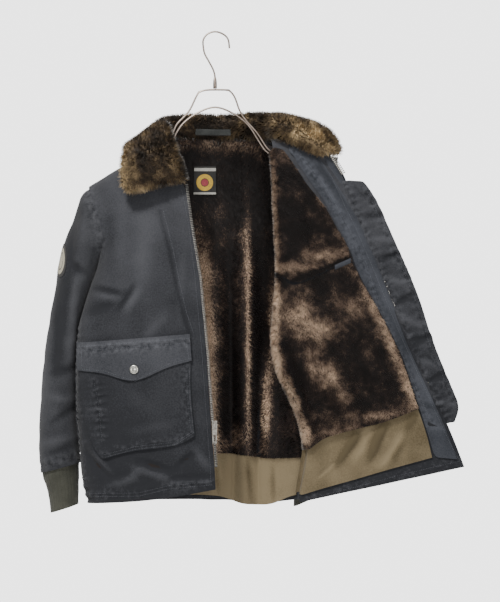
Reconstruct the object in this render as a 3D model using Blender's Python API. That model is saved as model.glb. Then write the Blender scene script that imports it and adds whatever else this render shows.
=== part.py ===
"""Sherpa jacket hanging on a chrome wire hanger, with its left front turned out.

+Z is up, +X is to the right of someone who faces the jacket, and the front
faces -Y. The origin is the inside top of the hanger's hook. Tables are in
millimetres. Right and left in names are the wearer's.
"""
import math

import bpy
import bmesh
import numpy as np

for old in list(bpy.data.objects):
    bpy.data.objects.remove(old, do_unlink=True)

MM = 0.001

SHELL = 1.6          # canvas wall
PILE = 9.0           # pile lining with its fur
BAND = 1.5           # olive cloth under the pile
FACING = 1.5
CUFF_WALL = 3.0
SEAM = 0.3           # gap between sewn pieces
WIRE = 1.9           # hanger wire's radius
FOLD_RADIUS = 2.0    # inside radius of the turned-out front's fold
UNDER = SHELL + SEAM             # from the shell's outer face to what lines it
LINED = UNDER + PILE             # from the shell's outer face to the fur's face


# Curves and surfaces

def spline(rows):
    """Smooth curve through rows of (parameter, value, value, ...) that never overshoots."""
    rows = np.array(rows, float)
    knots = rows[:, 0]
    values = rows[:, 1:]
    rise = np.diff(values, axis=0) / np.diff(knots)[:, None]
    before = rise[:-1]
    after = rise[1:]
    same = before * after > 0
    total = np.where(same, before + after, 1.0)
    middle = np.where(same, 2 * before * after / total, 0.0)
    slopes = np.concatenate([rise[:1], middle, rise[-1:]])

    def at(parameter):
        parameter = np.asarray(parameter, float)
        i = np.clip(np.searchsorted(knots, parameter, side="right") - 1, 0, len(knots) - 2)
        span = (knots[i + 1] - knots[i])[..., None]
        f = (parameter - knots[i])[..., None] / span
        stay = (1 + 2 * f) * (1 - f) ** 2 * values[i] + f * f * (3 - 2 * f) * values[i + 1]
        lean = f * (1 - f) ** 2 * slopes[i] - f * f * (1 - f) * slopes[i + 1]
        return stay + lean * span
    return at


def path(points):
    """Smooth curve through points, run by 0 to 1 along its length."""
    points = np.array(points, float)
    steps = np.linalg.norm(np.diff(points, axis=0), axis=1)
    along = np.concatenate([[0.0], np.cumsum(steps)]) / steps.sum()
    return spline(np.column_stack([along, points]))


def bezier(start, lead_in, lead_out, end, f):
    f = f[..., None]
    return ((1 - f) ** 3 * start + 3 * (1 - f) ** 2 * f * lead_in
            + 3 * (1 - f) * f * f * lead_out + f ** 3 * end)


def mix(a, b, f):
    return a + (b - a) * f


def step(f):
    f = np.clip(f, 0, 1)
    return f * f * (3 - 2 * f)


def normals(surface, s, t, flip=1.0):
    """Unit normals of a surface, from small steps inside its square."""
    e = 0.002
    along = surface(np.clip(s + e, 0, 1), t) - surface(np.clip(s - e, 0, 1), t)
    down = surface(s, np.clip(t + e, 0, 1)) - surface(s, np.clip(t - e, 0, 1))
    normal = np.cross(along, down) * flip
    return normal / np.maximum(np.linalg.norm(normal, axis=-1, keepdims=True), 1e-9)


def locate(surface, x, z, guess):
    """The place (s, t) on a surface that the front view shows at x, z."""
    s, t = guess
    e = 0.001
    for _ in range(40):
        here = surface(np.array(s), np.array(t))[[0, 2]]
        by_s = (surface(np.array(s + e), np.array(t))[[0, 2]] - here) / e
        by_t = (surface(np.array(s), np.array(t + e))[[0, 2]] - here) / e
        miss = np.array([x, z]) - here
        move = np.linalg.solve(np.column_stack([by_s, by_t]), miss)
        move = np.clip(move, -0.08, 0.08)
        s = float(np.clip(s + move[0], 0.0, 0.995))
        t = float(np.clip(t + move[1], 0.0, 0.995))
    return s, t


def coons(top, bottom, left, right, s, t):
    """Inside of four curves. Each curve gives 2 or 3 values for 0 to 1 along it."""
    s3 = s[..., None]
    t3 = t[..., None]
    zero = np.zeros(1)
    one = np.ones(1)
    rule = mix(top(s), bottom(s), t3) + mix(left(t), right(t), s3)
    corners = mix(mix(top(zero), top(one), s3), mix(bottom(zero), bottom(one), s3), t3)
    return rule - corners


# Bodies of mesh

def add_mesh(name, points, faces, look):
    mesh = bpy.data.meshes.new(name)
    mesh.from_pydata([tuple(point * MM) for point in points], [], faces)
    work = bmesh.new()
    work.from_mesh(mesh)
    bmesh.ops.triangulate(work, faces=work.faces)
    bmesh.ops.recalc_face_normals(work, faces=work.faces)
    work.to_mesh(mesh)
    work.free()
    mesh.shade_smooth()
    mesh.set_sharp_from_angle(angle=math.radians(50))
    thing = bpy.data.objects.new(name, mesh)
    bpy.context.scene.collection.objects.link(thing)
    mesh.materials.append(MATERIALS[look])
    return thing


def wall(name, outer, inner, look, tube=False):
    """Closed wall between two grids of points. A tube closes along its columns."""
    rows, columns = outer.shape[:2]
    count = rows * columns
    spans = columns if tube else columns - 1
    faces = []

    def at(i, j, side):
        return side * count + i * columns + j % columns

    for i in range(rows - 1):
        for j in range(spans):
            faces.append((at(i, j, 0), at(i, j + 1, 0), at(i + 1, j + 1, 0), at(i + 1, j, 0)))
            faces.append((at(i, j, 1), at(i + 1, j, 1), at(i + 1, j + 1, 1), at(i, j + 1, 1)))
    for j in range(spans):
        faces.append((at(0, j, 0), at(0, j, 1), at(0, j + 1, 1), at(0, j + 1, 0)))
        last = rows - 1
        faces.append((at(last, j, 0), at(last, j + 1, 0), at(last, j + 1, 1), at(last, j, 1)))
    if not tube:
        last = columns - 1
        for i in range(rows - 1):
            faces.append((at(i, 0, 0), at(i + 1, 0, 0), at(i + 1, 0, 1), at(i, 0, 1)))
            faces.append((at(i, last, 0), at(i, last, 1), at(i + 1, last, 1), at(i + 1, last, 0)))
    points = np.concatenate([outer.reshape(-1, 3), inner.reshape(-1, 3)])
    return add_mesh(name, points, faces, look)


def loft(name, rings, look):
    """Closed body through rings of points, with a flat face over each end."""
    count, sides = rings.shape[:2]
    faces = [tuple(range(sides)), tuple((count - 1) * sides + k for k in range(sides))]
    for i in range(count - 1):
        for j in range(sides):
            k = (j + 1) % sides
            faces.append((i * sides + j, i * sides + k, (i + 1) * sides + k, (i + 1) * sides + j))
    return add_mesh(name, rings.reshape(-1, 3), faces, look)


class Panel:
    """A surface as its wall's flat facets hold it, so what lies on it follows them."""

    def __init__(self, surface, columns, rows, flip=1.0):
        self.columns = np.asarray(columns, float)
        self.rows = np.asarray(rows, float)
        s, t = np.meshgrid(self.columns, self.rows)
        self.points = surface(s, t)
        self.outward = normals(surface, s, t, flip)

    def read(self, table, s, t):
        i = np.clip(np.searchsorted(self.rows, t, side="right") - 1, 0, len(self.rows) - 2)
        j = np.clip(np.searchsorted(self.columns, s, side="right") - 1, 0, len(self.columns) - 2)
        down = ((t - self.rows[i]) / (self.rows[i + 1] - self.rows[i]))[..., None]
        along = ((s - self.columns[j]) / (self.columns[j + 1] - self.columns[j]))[..., None]
        upper = mix(table[i, j], table[i, j + 1], along)
        lower_side = mix(table[i + 1, j], table[i + 1, j + 1], along)
        return mix(upper, lower_side, down)

    def at(self, s, t, lift=0.0):
        s, t = np.broadcast_arrays(np.asarray(s, float), np.asarray(t, float))
        lift = np.asarray(lift, float)
        return self.read(self.points, s, t) + self.read(self.outward, s, t) * lift[..., None]


def on(name, panel, s, t, lift, thickness, look, tube=False):
    """Wall whose outer face lies `lift` proud of a panel (less than 0 is inside it)."""
    lift = np.asarray(lift, float)
    outer = panel.at(s, t, lift)
    inner = panel.at(s, t, lift - np.asarray(thickness, float))
    return wall(name, outer, inner, look, tube)


def grid(s_values, t_values):
    return np.meshgrid(np.asarray(s_values, float), np.asarray(t_values, float))


def tube(name, points, radius, look, closed=False, radii=None):
    """Round wire along a smooth curve's points."""
    data = bpy.data.curves.new(name, "CURVE")
    data.dimensions = "3D"
    data.resolution_u = 1
    data.render_resolution_u = 0
    data.bevel_depth = radius * MM
    data.bevel_resolution = 1
    data.use_fill_caps = True
    line = data.splines.new("POLY")
    line.points.add(len(points) - 1)
    line.use_cyclic_u = closed
    for k, point in enumerate(points):
        line.points[k].co = (*(np.asarray(point) * MM), 1.0)
        line.points[k].radius = 1.0 if radii is None else radii[k]
    thing = bpy.data.objects.new(name, data)
    bpy.context.scene.collection.objects.link(thing)
    data.materials.append(MATERIALS[look])
    return thing


# Materials

LOOKS = {
    #               red    green  blue   rough  metal
    "canvas":      (0.045, 0.052, 0.068, 0.85, 0.0),
    "pile":        (0.030, 0.016, 0.010, 0.80, 0.0),
    "collar fur":  (0.110, 0.066, 0.026, 0.80, 0.0),
    "olive cloth": (0.200, 0.155, 0.085, 0.85, 0.0),
    "rib knit":    (0.050, 0.052, 0.036, 0.90, 0.0),
    "zip metal":   (0.550, 0.500, 0.420, 0.35, 1.0),
    "zip tape":    (0.030, 0.035, 0.045, 0.85, 0.0),
    "snap metal":  (0.620, 0.620, 0.580, 0.30, 1.0),
    "chrome":      (0.700, 0.680, 0.660, 0.12, 1.0),
    "badge cloth": (0.620, 0.580, 0.480, 0.85, 0.0),
    "label cloth": (0.020, 0.020, 0.020, 0.70, 0.0),
}


def make_materials():
    made = {}
    for look, (red, green, blue, rough, metal) in LOOKS.items():
        material = bpy.data.materials.new(look)
        material.use_nodes = True
        shader = material.node_tree.nodes["Principled BSDF"]
        shader.inputs["Base Color"].default_value = (red, green, blue, 1.0)
        shader.inputs["Roughness"].default_value = rough
        shader.inputs["Metallic"].default_value = metal
        made[look] = material
    return made


# The shell's surfaces. s runs round the body, t runs from shoulder to hem.

UNDERARM = 0.25

RIGHT_SIDE = [
    # t    x     y front  y back  z      armhole down to t 0.25, then side seam
    (0.00, -240, 4.6, 6.4, -293),
    (0.04, -237, -26, 33, -310),
    (0.08, -232, -40, 47, -335),
    (0.13, -223, -48, 54, -366),
    (0.18, -215, -46, 50, -397),
    (0.22, -216, -30, 33, -421),
    (0.25, -221, -4, -4, -434),
    (0.31, -231, -10, -10, -468),
    (0.38, -244, -16, -16, -508),
    (0.49, -261, -24, -24, -574),
    (0.66, -263, -28, -28, -690),
    (0.82, -255, -26, -26, -790),
    (0.93, -250, -24, -24, -857),
    (1.00, -239, -22, -22, -891),
]
RIGHT_EDGE = [
    # t    x     y    z      neckline down to t 0.15, then zip edge
    (0.00, -108, 5, -212),
    (0.05, -92, -26, -236),
    (0.10, -73, -42, -262),
    (0.15, -56, -52, -290),
    (0.25, -43, -62, -358),
    (0.40, -29, -66, -462),
    (0.60, -16, -68, -603),
    (0.80, -6, -68, -742),
    (0.92, 0, -63, -822),
    (1.00, 2, -59, -864),
]
LEFT_SIDE = [
    # t    x    y front  y back  z
    (0.00, 228, 2, 4, -288),
    (0.01, 228, -8, 15, -291),
    (0.04, 225, -14, 33, -306),
    (0.08, 220, -20, 47, -331),
    (0.13, 212, -24, 54, -361),
    (0.18, 206, -22, 50, -392),
    (0.22, 207, -14, 33, -416),
    (0.25, 212, -2, -2, -429),
    (0.31, 208, -3, -3, -466),
    (0.38, 203, -3, -3, -508),
    (0.49, 193, 0, 0, -578),
    (0.60, 184, 4, 4, -650),
    (0.70, 180, 10, 10, -712),
    (0.80, 184, 16, 16, -772),
    (0.90, 173, 18, 18, -832),
    (1.00, 164, 16, 16, -888),
]
FOLD = [
    # t    x of the fur's ridge, y, z
    (0.00, 98, -14, -208),
    (0.01, 99, -18, -214),
    (0.06, 106, -25, -250),
    (0.14, 109, -32, -310),
    (0.22, 111, -36, -366),
    (0.34, 116, -38, -446),
    (0.42, 113, -38, -505),
    (0.52, 104, -38, -580),
    (0.60, 112, -36, -634),
    (0.68, 139, -34, -686),
    (0.76, 160, -32, -742),
    (0.82, 171, -30, -776),
    (0.88, 166, -28, -818),
    (0.94, 157, -26, -856),
    (1.00, 150, -24, -890),
]
LEFT_EDGE = [
    # t    x    y    z
    (0.00, 217, -34, -240),
    (0.06, 240, -34, -276),
    (0.14, 257, -33, -331),
    (0.22, 277, -31, -369),
    (0.34, 306, -28, -438),
    (0.42, 329, -27, -490),
    (0.52, 357, -26, -562),
    (0.60, 379, -26, -614),
    (0.68, 402, -26, -662),
    (0.76, 421, -27, -704),
    (0.82, 437, -28, -737),
    (0.88, 449, -29, -766),
    (0.94, 461, -31, -796),
    (1.00, 471, -33, -823),
]
BACK_TOP = [
    # share of width, y, z     shoulder, neckline, shoulder
    (0.00, 6.4, -293),
    (0.14, 6.4, -252.8),
    (0.28, 6.4, -212.4),
    (0.37, 40, -201),
    (0.51, 62, -200),
    (0.64, 42, -201),
    (0.72, 22, -204),
    (0.765, -7, -217),
    (0.87, 0, -249),
    (1.00, 4, -288),
]
BACK_HEM = [
    # share of width, z
    (0.00, -891),
    (0.30, -893),
    (0.60, -892),
    (0.80, -899),
    (1.00, -888),
]
DRAPES = [
    # x top, x hem, half-width, height, t where it starts, t where it is full
    (-8, -2, 24, 24, 0.12, 0.60),
    (57, 60, 18, 22, 0.15, 0.50),
    (106, 108, 18, 22, 0.50, 0.80),
    (-150, -160, 30, 10, 0.30, 0.70),
]
RAMP = 0.22          # t over which the shoulder rounds into the panel

right_side = spline(RIGHT_SIDE)
right_edge = spline(RIGHT_EDGE)
left_side = spline(LEFT_SIDE)
fold_line = spline(FOLD)
left_edge = spline(LEFT_EDGE)
back_top = spline(BACK_TOP)
back_hem = spline(BACK_HEM)


def shoulder_round(t):
    rest = 1 - np.clip(t / RAMP, 0, 1)
    return np.sqrt(np.clip(1 - rest * rest, 0, 1))


def flat_point(x, y):
    return np.stack(np.broadcast_arrays(x, y), axis=-1)


CORNER_RIGHT = 0.78      # s where the right front starts to turn to its side


def right_front(s, t):
    """Outer face of the right front: zip edge at s 0, side seam at s 1."""
    s, t = np.broadcast_arrays(np.asarray(s, float), np.asarray(t, float))
    edge = right_edge(t)
    side = right_side(t)
    side_y = side[..., 1]
    below = step((t - UNDERARM) / 0.06 + 1)
    reach = mix(28.0, 42.0, below)
    face_y = mix(5.0, -63.0, shoulder_round(t)) + 5 * step((t - 0.85) / 0.15)
    corner = flat_point(side[..., 0] + reach, face_y)
    seam = flat_point(side[..., 0], side_y)
    lead = flat_point(mix(10.0, 0.0, below), mix(0.0, -15.0, below))
    turn = bezier(corner, corner + flat_point(-0.5 * reach, 0 * t), seam + lead, seam,
                  np.clip((s - CORNER_RIGHT) / (1 - CORNER_RIGHT), 0, 1))
    f = np.clip(s / CORNER_RIGHT, 0, 1)[..., None]
    start = edge[..., :2]
    face = mix(start, corner, f)
    bulge = 7 * np.sin(math.pi * f[..., 0]) * shoulder_round(t)
    face = face - flat_point(0 * t, bulge)
    flat = np.where((s < CORNER_RIGHT)[..., None], face, turn)
    share = (flat[..., 0] - start[..., 0]) / (side[..., 0] - start[..., 0])
    sag = -6 * np.sin(math.pi * share) * step((t - 0.8) / 0.2)
    z = mix(edge[..., 2], side[..., 3], share) + sag
    return np.stack([flat[..., 0], flat[..., 1], z], axis=-1)


TURN_BACK = 0.16         # share of s that each side of the back takes to turn


def back(s, t):
    """Outer face of the back: right side seam at s 0, left side seam at s 1."""
    s, t = np.broadcast_arrays(np.asarray(s, float), np.asarray(t, float))
    right = right_side(t)
    left = left_side(t)
    below = step((t - UNDERARM) / 0.06 + 1)
    reach_right = mix(30.0, 62.0, below)
    reach_left = mix(30.0, 66.0, below)
    width = left[..., 0] - right[..., 0]

    def plate(x):
        share = (x - right[..., 0]) / width
        top = back_top(share)
        depth = mix(top[..., 0], 82.0, shoulder_round(t))
        for x_top, x_hem, half, height, begin, full in DRAPES:
            centre = mix(x_top, x_hem, t)
            depth = depth - height * np.exp(-((x - centre) / half) ** 2) * step((t - begin) / (full - begin))
        return depth

    x_right = right[..., 0] + reach_right
    x_left = left[..., 0] - reach_left
    corner_right = flat_point(x_right, plate(x_right))
    corner_left = flat_point(x_left, plate(x_left))
    gap = mix(0.2, 0.3 + SHELL, step((0.8 - t) / 0.2) * below)
    seam_right = flat_point(right[..., 0], right[..., 2])
    seam_left = flat_point(left[..., 0], left[..., 2] + gap)
    lead_right = flat_point(mix(10.0, 0.0, below), mix(0.0, 18.0, below))
    lead_left = flat_point(mix(-10.0, 0.0, below), mix(0.0, 18.0, below))
    turn_right = bezier(seam_right, seam_right + lead_right,
                        corner_right + flat_point(-22.0, 0 * t), corner_right,
                        np.clip(s / TURN_BACK, 0, 1))
    turn_left = bezier(corner_left, corner_left + flat_point(22.0, 0 * t),
                       seam_left + lead_left, seam_left,
                       np.clip((s - 1 + TURN_BACK) / TURN_BACK, 0, 1))
    f = np.clip((s - TURN_BACK) / (1 - 2 * TURN_BACK), 0, 1)
    x = mix(x_right, x_left, f)
    flat = flat_point(x, plate(x))
    flat = np.where((s < TURN_BACK)[..., None], turn_right, flat)
    flat = np.where((s > 1 - TURN_BACK)[..., None], turn_left, flat)
    share = (flat[..., 0] - right[..., 0]) / width
    top_z = back_top(share)[..., 1]
    hem_z = back_hem(share)[..., 0]
    sides = mix(right[..., 3], left[..., 3], share)
    corners = mix(mix(-293.0, -288.0, share), mix(-891.0, -888.0, share), t)
    z = mix(top_z, hem_z, t) + sides - corners
    return np.stack([flat[..., 0], flat[..., 1], z], axis=-1)


FOLD_START = 0.30        # s where the left front's fold begins
FOLD_END = 0.42
RIPPLES = [
    # s, t, half-width in s, half-width in t, slant of s over t, height
    (0.60, 0.62, 0.080, 0.30, 0.10, -5),
    (0.82, 0.80, 0.080, 0.25, 0.16, -5),
    (0.70, 0.97, 0.070, 0.12, -0.25, -4),
    (0.66, 0.30, 0.090, 0.20, 0.08, 4),
]


def left_front(s, t):
    """Outer face of the left front: side seam at s 0, fold, zip edge at s 1."""
    s, t = np.broadcast_arrays(np.asarray(s, float), np.asarray(t, float))
    side = left_side(t)
    fold = fold_line(t)
    edge = left_edge(t)
    start = flat_point(side[..., 0], side[..., 1])
    end = edge[..., :2]
    centre = flat_point(fold[..., 0] + LINED + FOLD_RADIUS, fold[..., 1])
    back_way = centre - start
    heading = np.arctan2(back_way[..., 1], back_way[..., 0]) % (2 * math.pi)
    out_way = end - centre
    leaving = np.arctan2(out_way[..., 1], out_way[..., 0]) + 2 * math.pi
    f = np.clip((s - FOLD_START) / (FOLD_END - FOLD_START), 0, 1)
    angle = mix(heading, leaving, f)

    def rim(a):
        return centre + FOLD_RADIUS * flat_point(np.sin(a), -np.cos(a))

    behind = mix(start, rim(heading), np.clip(s / FOLD_START, 0, 1)[..., None])
    run = np.clip((s - FOLD_END) / (1 - FOLD_END), 0, 1)
    front = mix(rim(leaving), end, run[..., None])
    wave = 0 * s
    for s0, t0, half_s, half_t, slant, height in RIPPLES:
        off = (s - s0 - slant * (t - t0)) / half_s
        wave = wave + height * np.exp(-off ** 2 - ((t - t0) / half_t) ** 2)
    wave = wave * step(run / 0.15)
    front = front + flat_point(0 * s, wave)
    flat = np.where((s < FOLD_START)[..., None], behind, rim(angle))
    flat = np.where((s > FOLD_END)[..., None], front, flat)
    z = np.where(s < FOLD_START, mix(side[..., 3], fold[..., 2], np.clip(s / FOLD_START, 0, 1)),
                 mix(fold[..., 2], edge[..., 2], run))
    return np.stack([flat[..., 0], flat[..., 1], z], axis=-1)


# Sleeves

RIGHT_SLEEVE = [
    # v    outer x, outer z, inner x, inner z, middle y, half depth
    (0.03, -256, -309, -229, -446, 3, 54),
    (0.10, -272, -356, -239, -466, 9, 56),
    (0.18, -288, -398, -247, -488, 17, 54),
    (0.30, -303, -463, -250, -520, 27, 50),
    (0.40, -311, -520, -252, -560, 33, 48),
    (0.55, -321, -603, -256, -630, 36, 46),
    (0.67, -329, -668, -262, -690, 36, 46),
    (0.80, -336, -736, -262, -746, 34, 46),
    (0.90, -337, -784, -259, -786, 31, 44),
    (1.00, -333, -838, -257, -817, 28, 40),
]
LEFT_SLEEVE = [
    (0.03, 244, -304, 221, -441, 12, 34),
    (0.10, 258, -350, 231, -462, 26, 42),
    (0.18, 266, -398, 232, -488, 38, 45),
    (0.30, 268, -463, 218, -520, 52, 45),
    (0.40, 265, -520, 204, -560, 60, 44),
    (0.55, 254, -600, 188, -630, 70, 42),
    (0.67, 243, -668, 176, -688, 74, 42),
    (0.80, 231, -740, 164, -744, 76, 42),
    (0.90, 224, -786, 156, -784, 76, 40),
    (1.00, 216, -834, 150, -812, 74, 36),
]
RIGHT_CUFF = [
    # v    outer x, outer z, inner x, inner z, middle y, half depth
    (0.00, -329, -826, -261, -806, 28, 35.8),
    (0.30, -329, -850, -261, -832, 28, 35.8),
    (0.55, -318, -868, -261, -850, 28, 29),
    (1.00, -313, -914, -262, -897, 28, 27),
]
LEFT_CUFF = [
    (0.00, 211.2, -822, 154.8, -801, 74, 31.0),
    (0.30, 211.2, -846, 154.8, -828, 74, 31.0),
    (0.55, 201, -866, 152, -856, 72, 26),
    (1.00, 196, -884, 152, -905, 70, 24),
]
RIBS = 30            # ribs round a cuff
RIB = 1.3            # how proud each stands


def oval(row, turn):
    """Points round a sleeve's ring: turn 0 is its outer edge, 0.25 its front."""
    outer_x, outer_z, inner_x, inner_z, y, depth = np.moveaxis(row, -1, 0)
    swing = np.cos(2 * math.pi * turn)
    x = (outer_x + inner_x) / 2 + swing * (outer_x - inner_x) / 2
    z = (outer_z + inner_z) / 2 + swing * (outer_z - inner_z) / 2
    return np.stack([x, y - depth * np.sin(2 * math.pi * turn), z], axis=-1)


def sleeve(rows, front, rear, clear):
    """Surface of a sleeve from its armhole (t 0) to its hem (t 1); s goes round."""
    stations = np.array(rows, float)

    def armhole(turn):
        turn = turn % 1.0
        fore = turn < 0.5
        t = np.where(fore, turn, 1 - turn) / 0.5 * UNDERARM
        room = 1 + 1.2 * step(1 - np.abs(turn - 0.5) / 0.2)
        return np.where(fore[..., None], front(t), rear(t)) + room[..., None] * clear

    def surface(s, t):
        s, t = np.broadcast_arrays(np.asarray(s, float), np.asarray(t, float))
        rings = [armhole(s)]
        for station in stations:
            rings.append(oval(np.broadcast_to(station[1:], s.shape + (6,)), s))
        values = np.stack(rings)
        knots = np.concatenate([[0.0], stations[:, 0]])
        slopes = np.gradient(values, knots, axis=0)
        i = np.clip(np.searchsorted(knots, t, side="right") - 1, 0, len(knots) - 2)
        pick = np.indices(s.shape)
        lower = (i, *pick)
        upper = (i + 1, *pick)
        span = (knots[i + 1] - knots[i])[..., None]
        f = ((t - knots[i])[..., None]) / span
        stay = (1 + 2 * f) * (1 - f) ** 2 * values[lower] + f * f * (3 - 2 * f) * values[upper]
        lean = f * (1 - f) ** 2 * slopes[lower] - f * f * (1 - f) * slopes[upper]
        return stay + lean * span
    return surface


def cuff_surface(rows):
    line = spline(rows)

    def surface(s, t):
        s, t = np.broadcast_arrays(np.asarray(s, float), np.asarray(t, float))
        return oval(line(t), s)
    return surface



# Collar

COLLAR = [
    # neck seam x, y, z    fold top x, y, z    leaf edge x, y, z   half thickness
    (-62, -57, -286, -57, -66, -283, -156, -84, -309, 7),
    (-70, -54, -269, -65, -66, -262, -172, -82, -292, 10),
    (-80, -48, -251, -72, -60, -238, -172, -74, -252, 11),
    (-96, -36, -229, -80, -44, -210, -165, -50, -220, 10),
    (-108, -12, -206, -88, -26, -182, -153, -6, -214, 9),
    (-106, 20, -198, -97, 18, -167, -138, 50, -208, 9),
    (-74, 43, -197, -66, 40, -160, -98, 90, -222, 12),
    (-38, 57, -197, -34, 53, -158, -50, 110, -236, 12),
    (0, 62, -197, 0, 58, -160, 0, 116, -242, 12),
    (38, 57, -198, 34, 53, -158, 50, 110, -238, 12),
    (72, 38, -199, 66, 34, -157, 100, 92, -222, 12),
    (108, 13, -202, 100, 10, -160, 146, 56, -190, 9),
    (122, -16, -201, 118, -22, -168, 172, 20, -178, 11),
    (152, -30, -210, 150, -38, -190, 206, 2, -184, 10),
    (184, -36, -227, 184, -44, -214, 232, -14, -212, 9),
    (208, -40, -235, 208, -46, -231, 236, -30, -234, 6),
]
SEAT = 1.2           # how far the neck seam is set down onto the shell


def collar_ring(row):
    """Section of the folded fur: stand on the neck side, fall on the other."""
    seam = row[0:3] - [0, 0, SEAT]
    top = row[3:6]
    edge = row[6:9]
    half = row[9]
    fall = edge - top
    fall = fall / np.linalg.norm(fall)
    stand = top - seam
    away = stand - fall * np.dot(stand, fall)
    away = away / np.linalg.norm(away)
    middle = mix(seam, edge, 0.35)
    inward = (top + seam) / 2 - middle
    inward = inward - stand * np.dot(inward, stand) / np.dot(stand, stand)
    inward = inward / np.linalg.norm(inward)
    up = stand / np.linalg.norm(stand)
    return np.array([
        seam + inward * half * 0.9,
        mix(seam, top, 0.5) + inward * half * 1.15,
        mix(seam, top, 0.95) + inward * half * 0.7,
        top + up * half * 0.55,
        top + fall * half * 0.9 + away * half * 1.1,
        mix(top, edge, 0.35) + away * half * 1.25,
        mix(top, edge, 0.7) + away * half * 1.15,
        edge + away * half * 0.75,
        edge + fall * half * 0.45,
        edge - away * half * 0.5,
        mix(top, edge, 0.7) - away * half * 0.55,
        mix(top, edge, 0.4) - away * half * 0.45,
        mix(seam, top, 0.35) - inward * half * 0.1,
        seam + up * 0.4 - inward * 0.4,
    ])


def collar_line():
    rows = np.array(COLLAR, float)
    return spline(np.column_stack([np.linspace(0, 1, len(rows)), rows]))


def make_collar():
    line = collar_line()
    rings = np.array([collar_ring(line(k)) for k in np.linspace(0, 1, 31)])
    loft("collar", rings, "collar fur")
    loop_at = [line(k) for k in np.linspace(0.46, 0.59, 8)]
    face = []
    for row in loop_at:
        ring = collar_ring(row)
        ahead = ring[1] - mix(row[0:3], row[3:6], 0.5)
        ahead = ahead / np.linalg.norm(ahead)
        low = mix(ring[0], ring[1], 0.35) + ahead * 1.2
        high = mix(ring[0], ring[1], 0.95) + ahead * 1.2
        face.append([low, high, high + ahead * 1.2, low + ahead * 1.2])
    loft("neck_loop", np.array(face), "zip tape")


# Building

ROWS = np.concatenate([UNDERARM * (1 - np.cos(np.linspace(0, math.pi / 2, 7))),
                       [0.31, 0.38, 0.46, 0.54, 0.62, 0.70, 0.775, 0.862, 0.925, 0.985, 1.00]])
FUR_ROW = -4             # the row where the back's fur stops and its olive band starts
RIGHT_COLUMNS = np.concatenate([np.linspace(0, CORNER_RIGHT, 9),
                                np.linspace(CORNER_RIGHT, 1, 6)[1:]]) * 0.999
PLATE_COLUMNS = np.concatenate([np.linspace(0, 0.52, 8), np.linspace(0.52, 1, 16)[1:]])
TURN_COLUMNS = np.linspace(0, TURN_BACK, 5)[:-1]
BACK_COLUMNS = 0.0006 + 0.9988 * np.concatenate([
    TURN_COLUMNS, TURN_BACK + PLATE_COLUMNS * (1 - 2 * TURN_BACK), 1 - TURN_COLUMNS[::-1]])
FOLD_COLUMNS = np.linspace(FOLD_START, FOLD_END, 6)
LEFT_COLUMNS = np.concatenate([np.linspace(0.001, FOLD_START, 5)[:-1], FOLD_COLUMNS,
                               np.linspace(FOLD_END, 1, 15)[1:]])
RING_LENGTHS = [0.0, 0.03, 0.10, 0.18, 0.30, 0.40, 0.50, 0.60, 0.70, 0.80, 0.90, 1.00]
CUFF_LENGTHS = [0.0, 0.3, 0.55, 1.0]
SLEEVE_TURNS = np.linspace(0, 1, 17)
CUFF_TURNS = np.linspace(0, 1, 2 * RIBS + 1)

right_panel = Panel(right_front, RIGHT_COLUMNS, ROWS)
back_panel = Panel(back, BACK_COLUMNS, ROWS)
left_panel = Panel(left_front, LEFT_COLUMNS, ROWS)
right_sleeve = sleeve(RIGHT_SLEEVE, lambda t: right_panel.at(RIGHT_COLUMNS[-1], t),
                      lambda t: back_panel.at(BACK_COLUMNS[0], t), np.array([-1.2, 0, -0.8]))
left_sleeve = sleeve(LEFT_SLEEVE, lambda t: left_panel.at(LEFT_COLUMNS[0], t),
                     lambda t: back_panel.at(BACK_COLUMNS[-1], t), np.array([1.0, 0, -0.7]))
right_sleeve_panel = Panel(right_sleeve, SLEEVE_TURNS, RING_LENGTHS)
left_sleeve_panel = Panel(left_sleeve, SLEEVE_TURNS, RING_LENGTHS, -1.0)
right_cuff_panel = Panel(cuff_surface(RIGHT_CUFF), CUFF_TURNS, CUFF_LENGTHS)
left_cuff_panel = Panel(cuff_surface(LEFT_CUFF), CUFF_TURNS, CUFF_LENGTHS, -1.0)


def make_shell():
    on("shell_front_right", right_panel, *grid(RIGHT_COLUMNS, ROWS), 0, SHELL, "canvas")
    on("shell_back", back_panel, *grid(BACK_COLUMNS, ROWS), 0, SHELL, "canvas")
    on("shell_front_left", left_panel, *grid(LEFT_COLUMNS, ROWS), 0, SHELL, "canvas")


def make_sleeves():
    places = grid(SLEEVE_TURNS[:-1], RING_LENGTHS)
    on("sleeve_right", right_sleeve_panel, *places, 0, SHELL, "canvas", tube=True)
    on("sleeve_left", left_sleeve_panel, *places, 0, SHELL, "canvas", tube=True)
    s, t = grid(CUFF_TURNS[:-1], CUFF_LENGTHS)
    rib = RIB * (np.arange(2 * RIBS) % 2) + 0 * s
    on("cuff_right", right_cuff_panel, s, t, rib, CUFF_WALL - RIB + rib, "rib knit", tube=True)
    on("cuff_left", left_cuff_panel, s, t, rib, CUFF_WALL - RIB + rib, "rib knit", tube=True)


# What lines the shell. Points of the left front are as the front view shows them.

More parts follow.
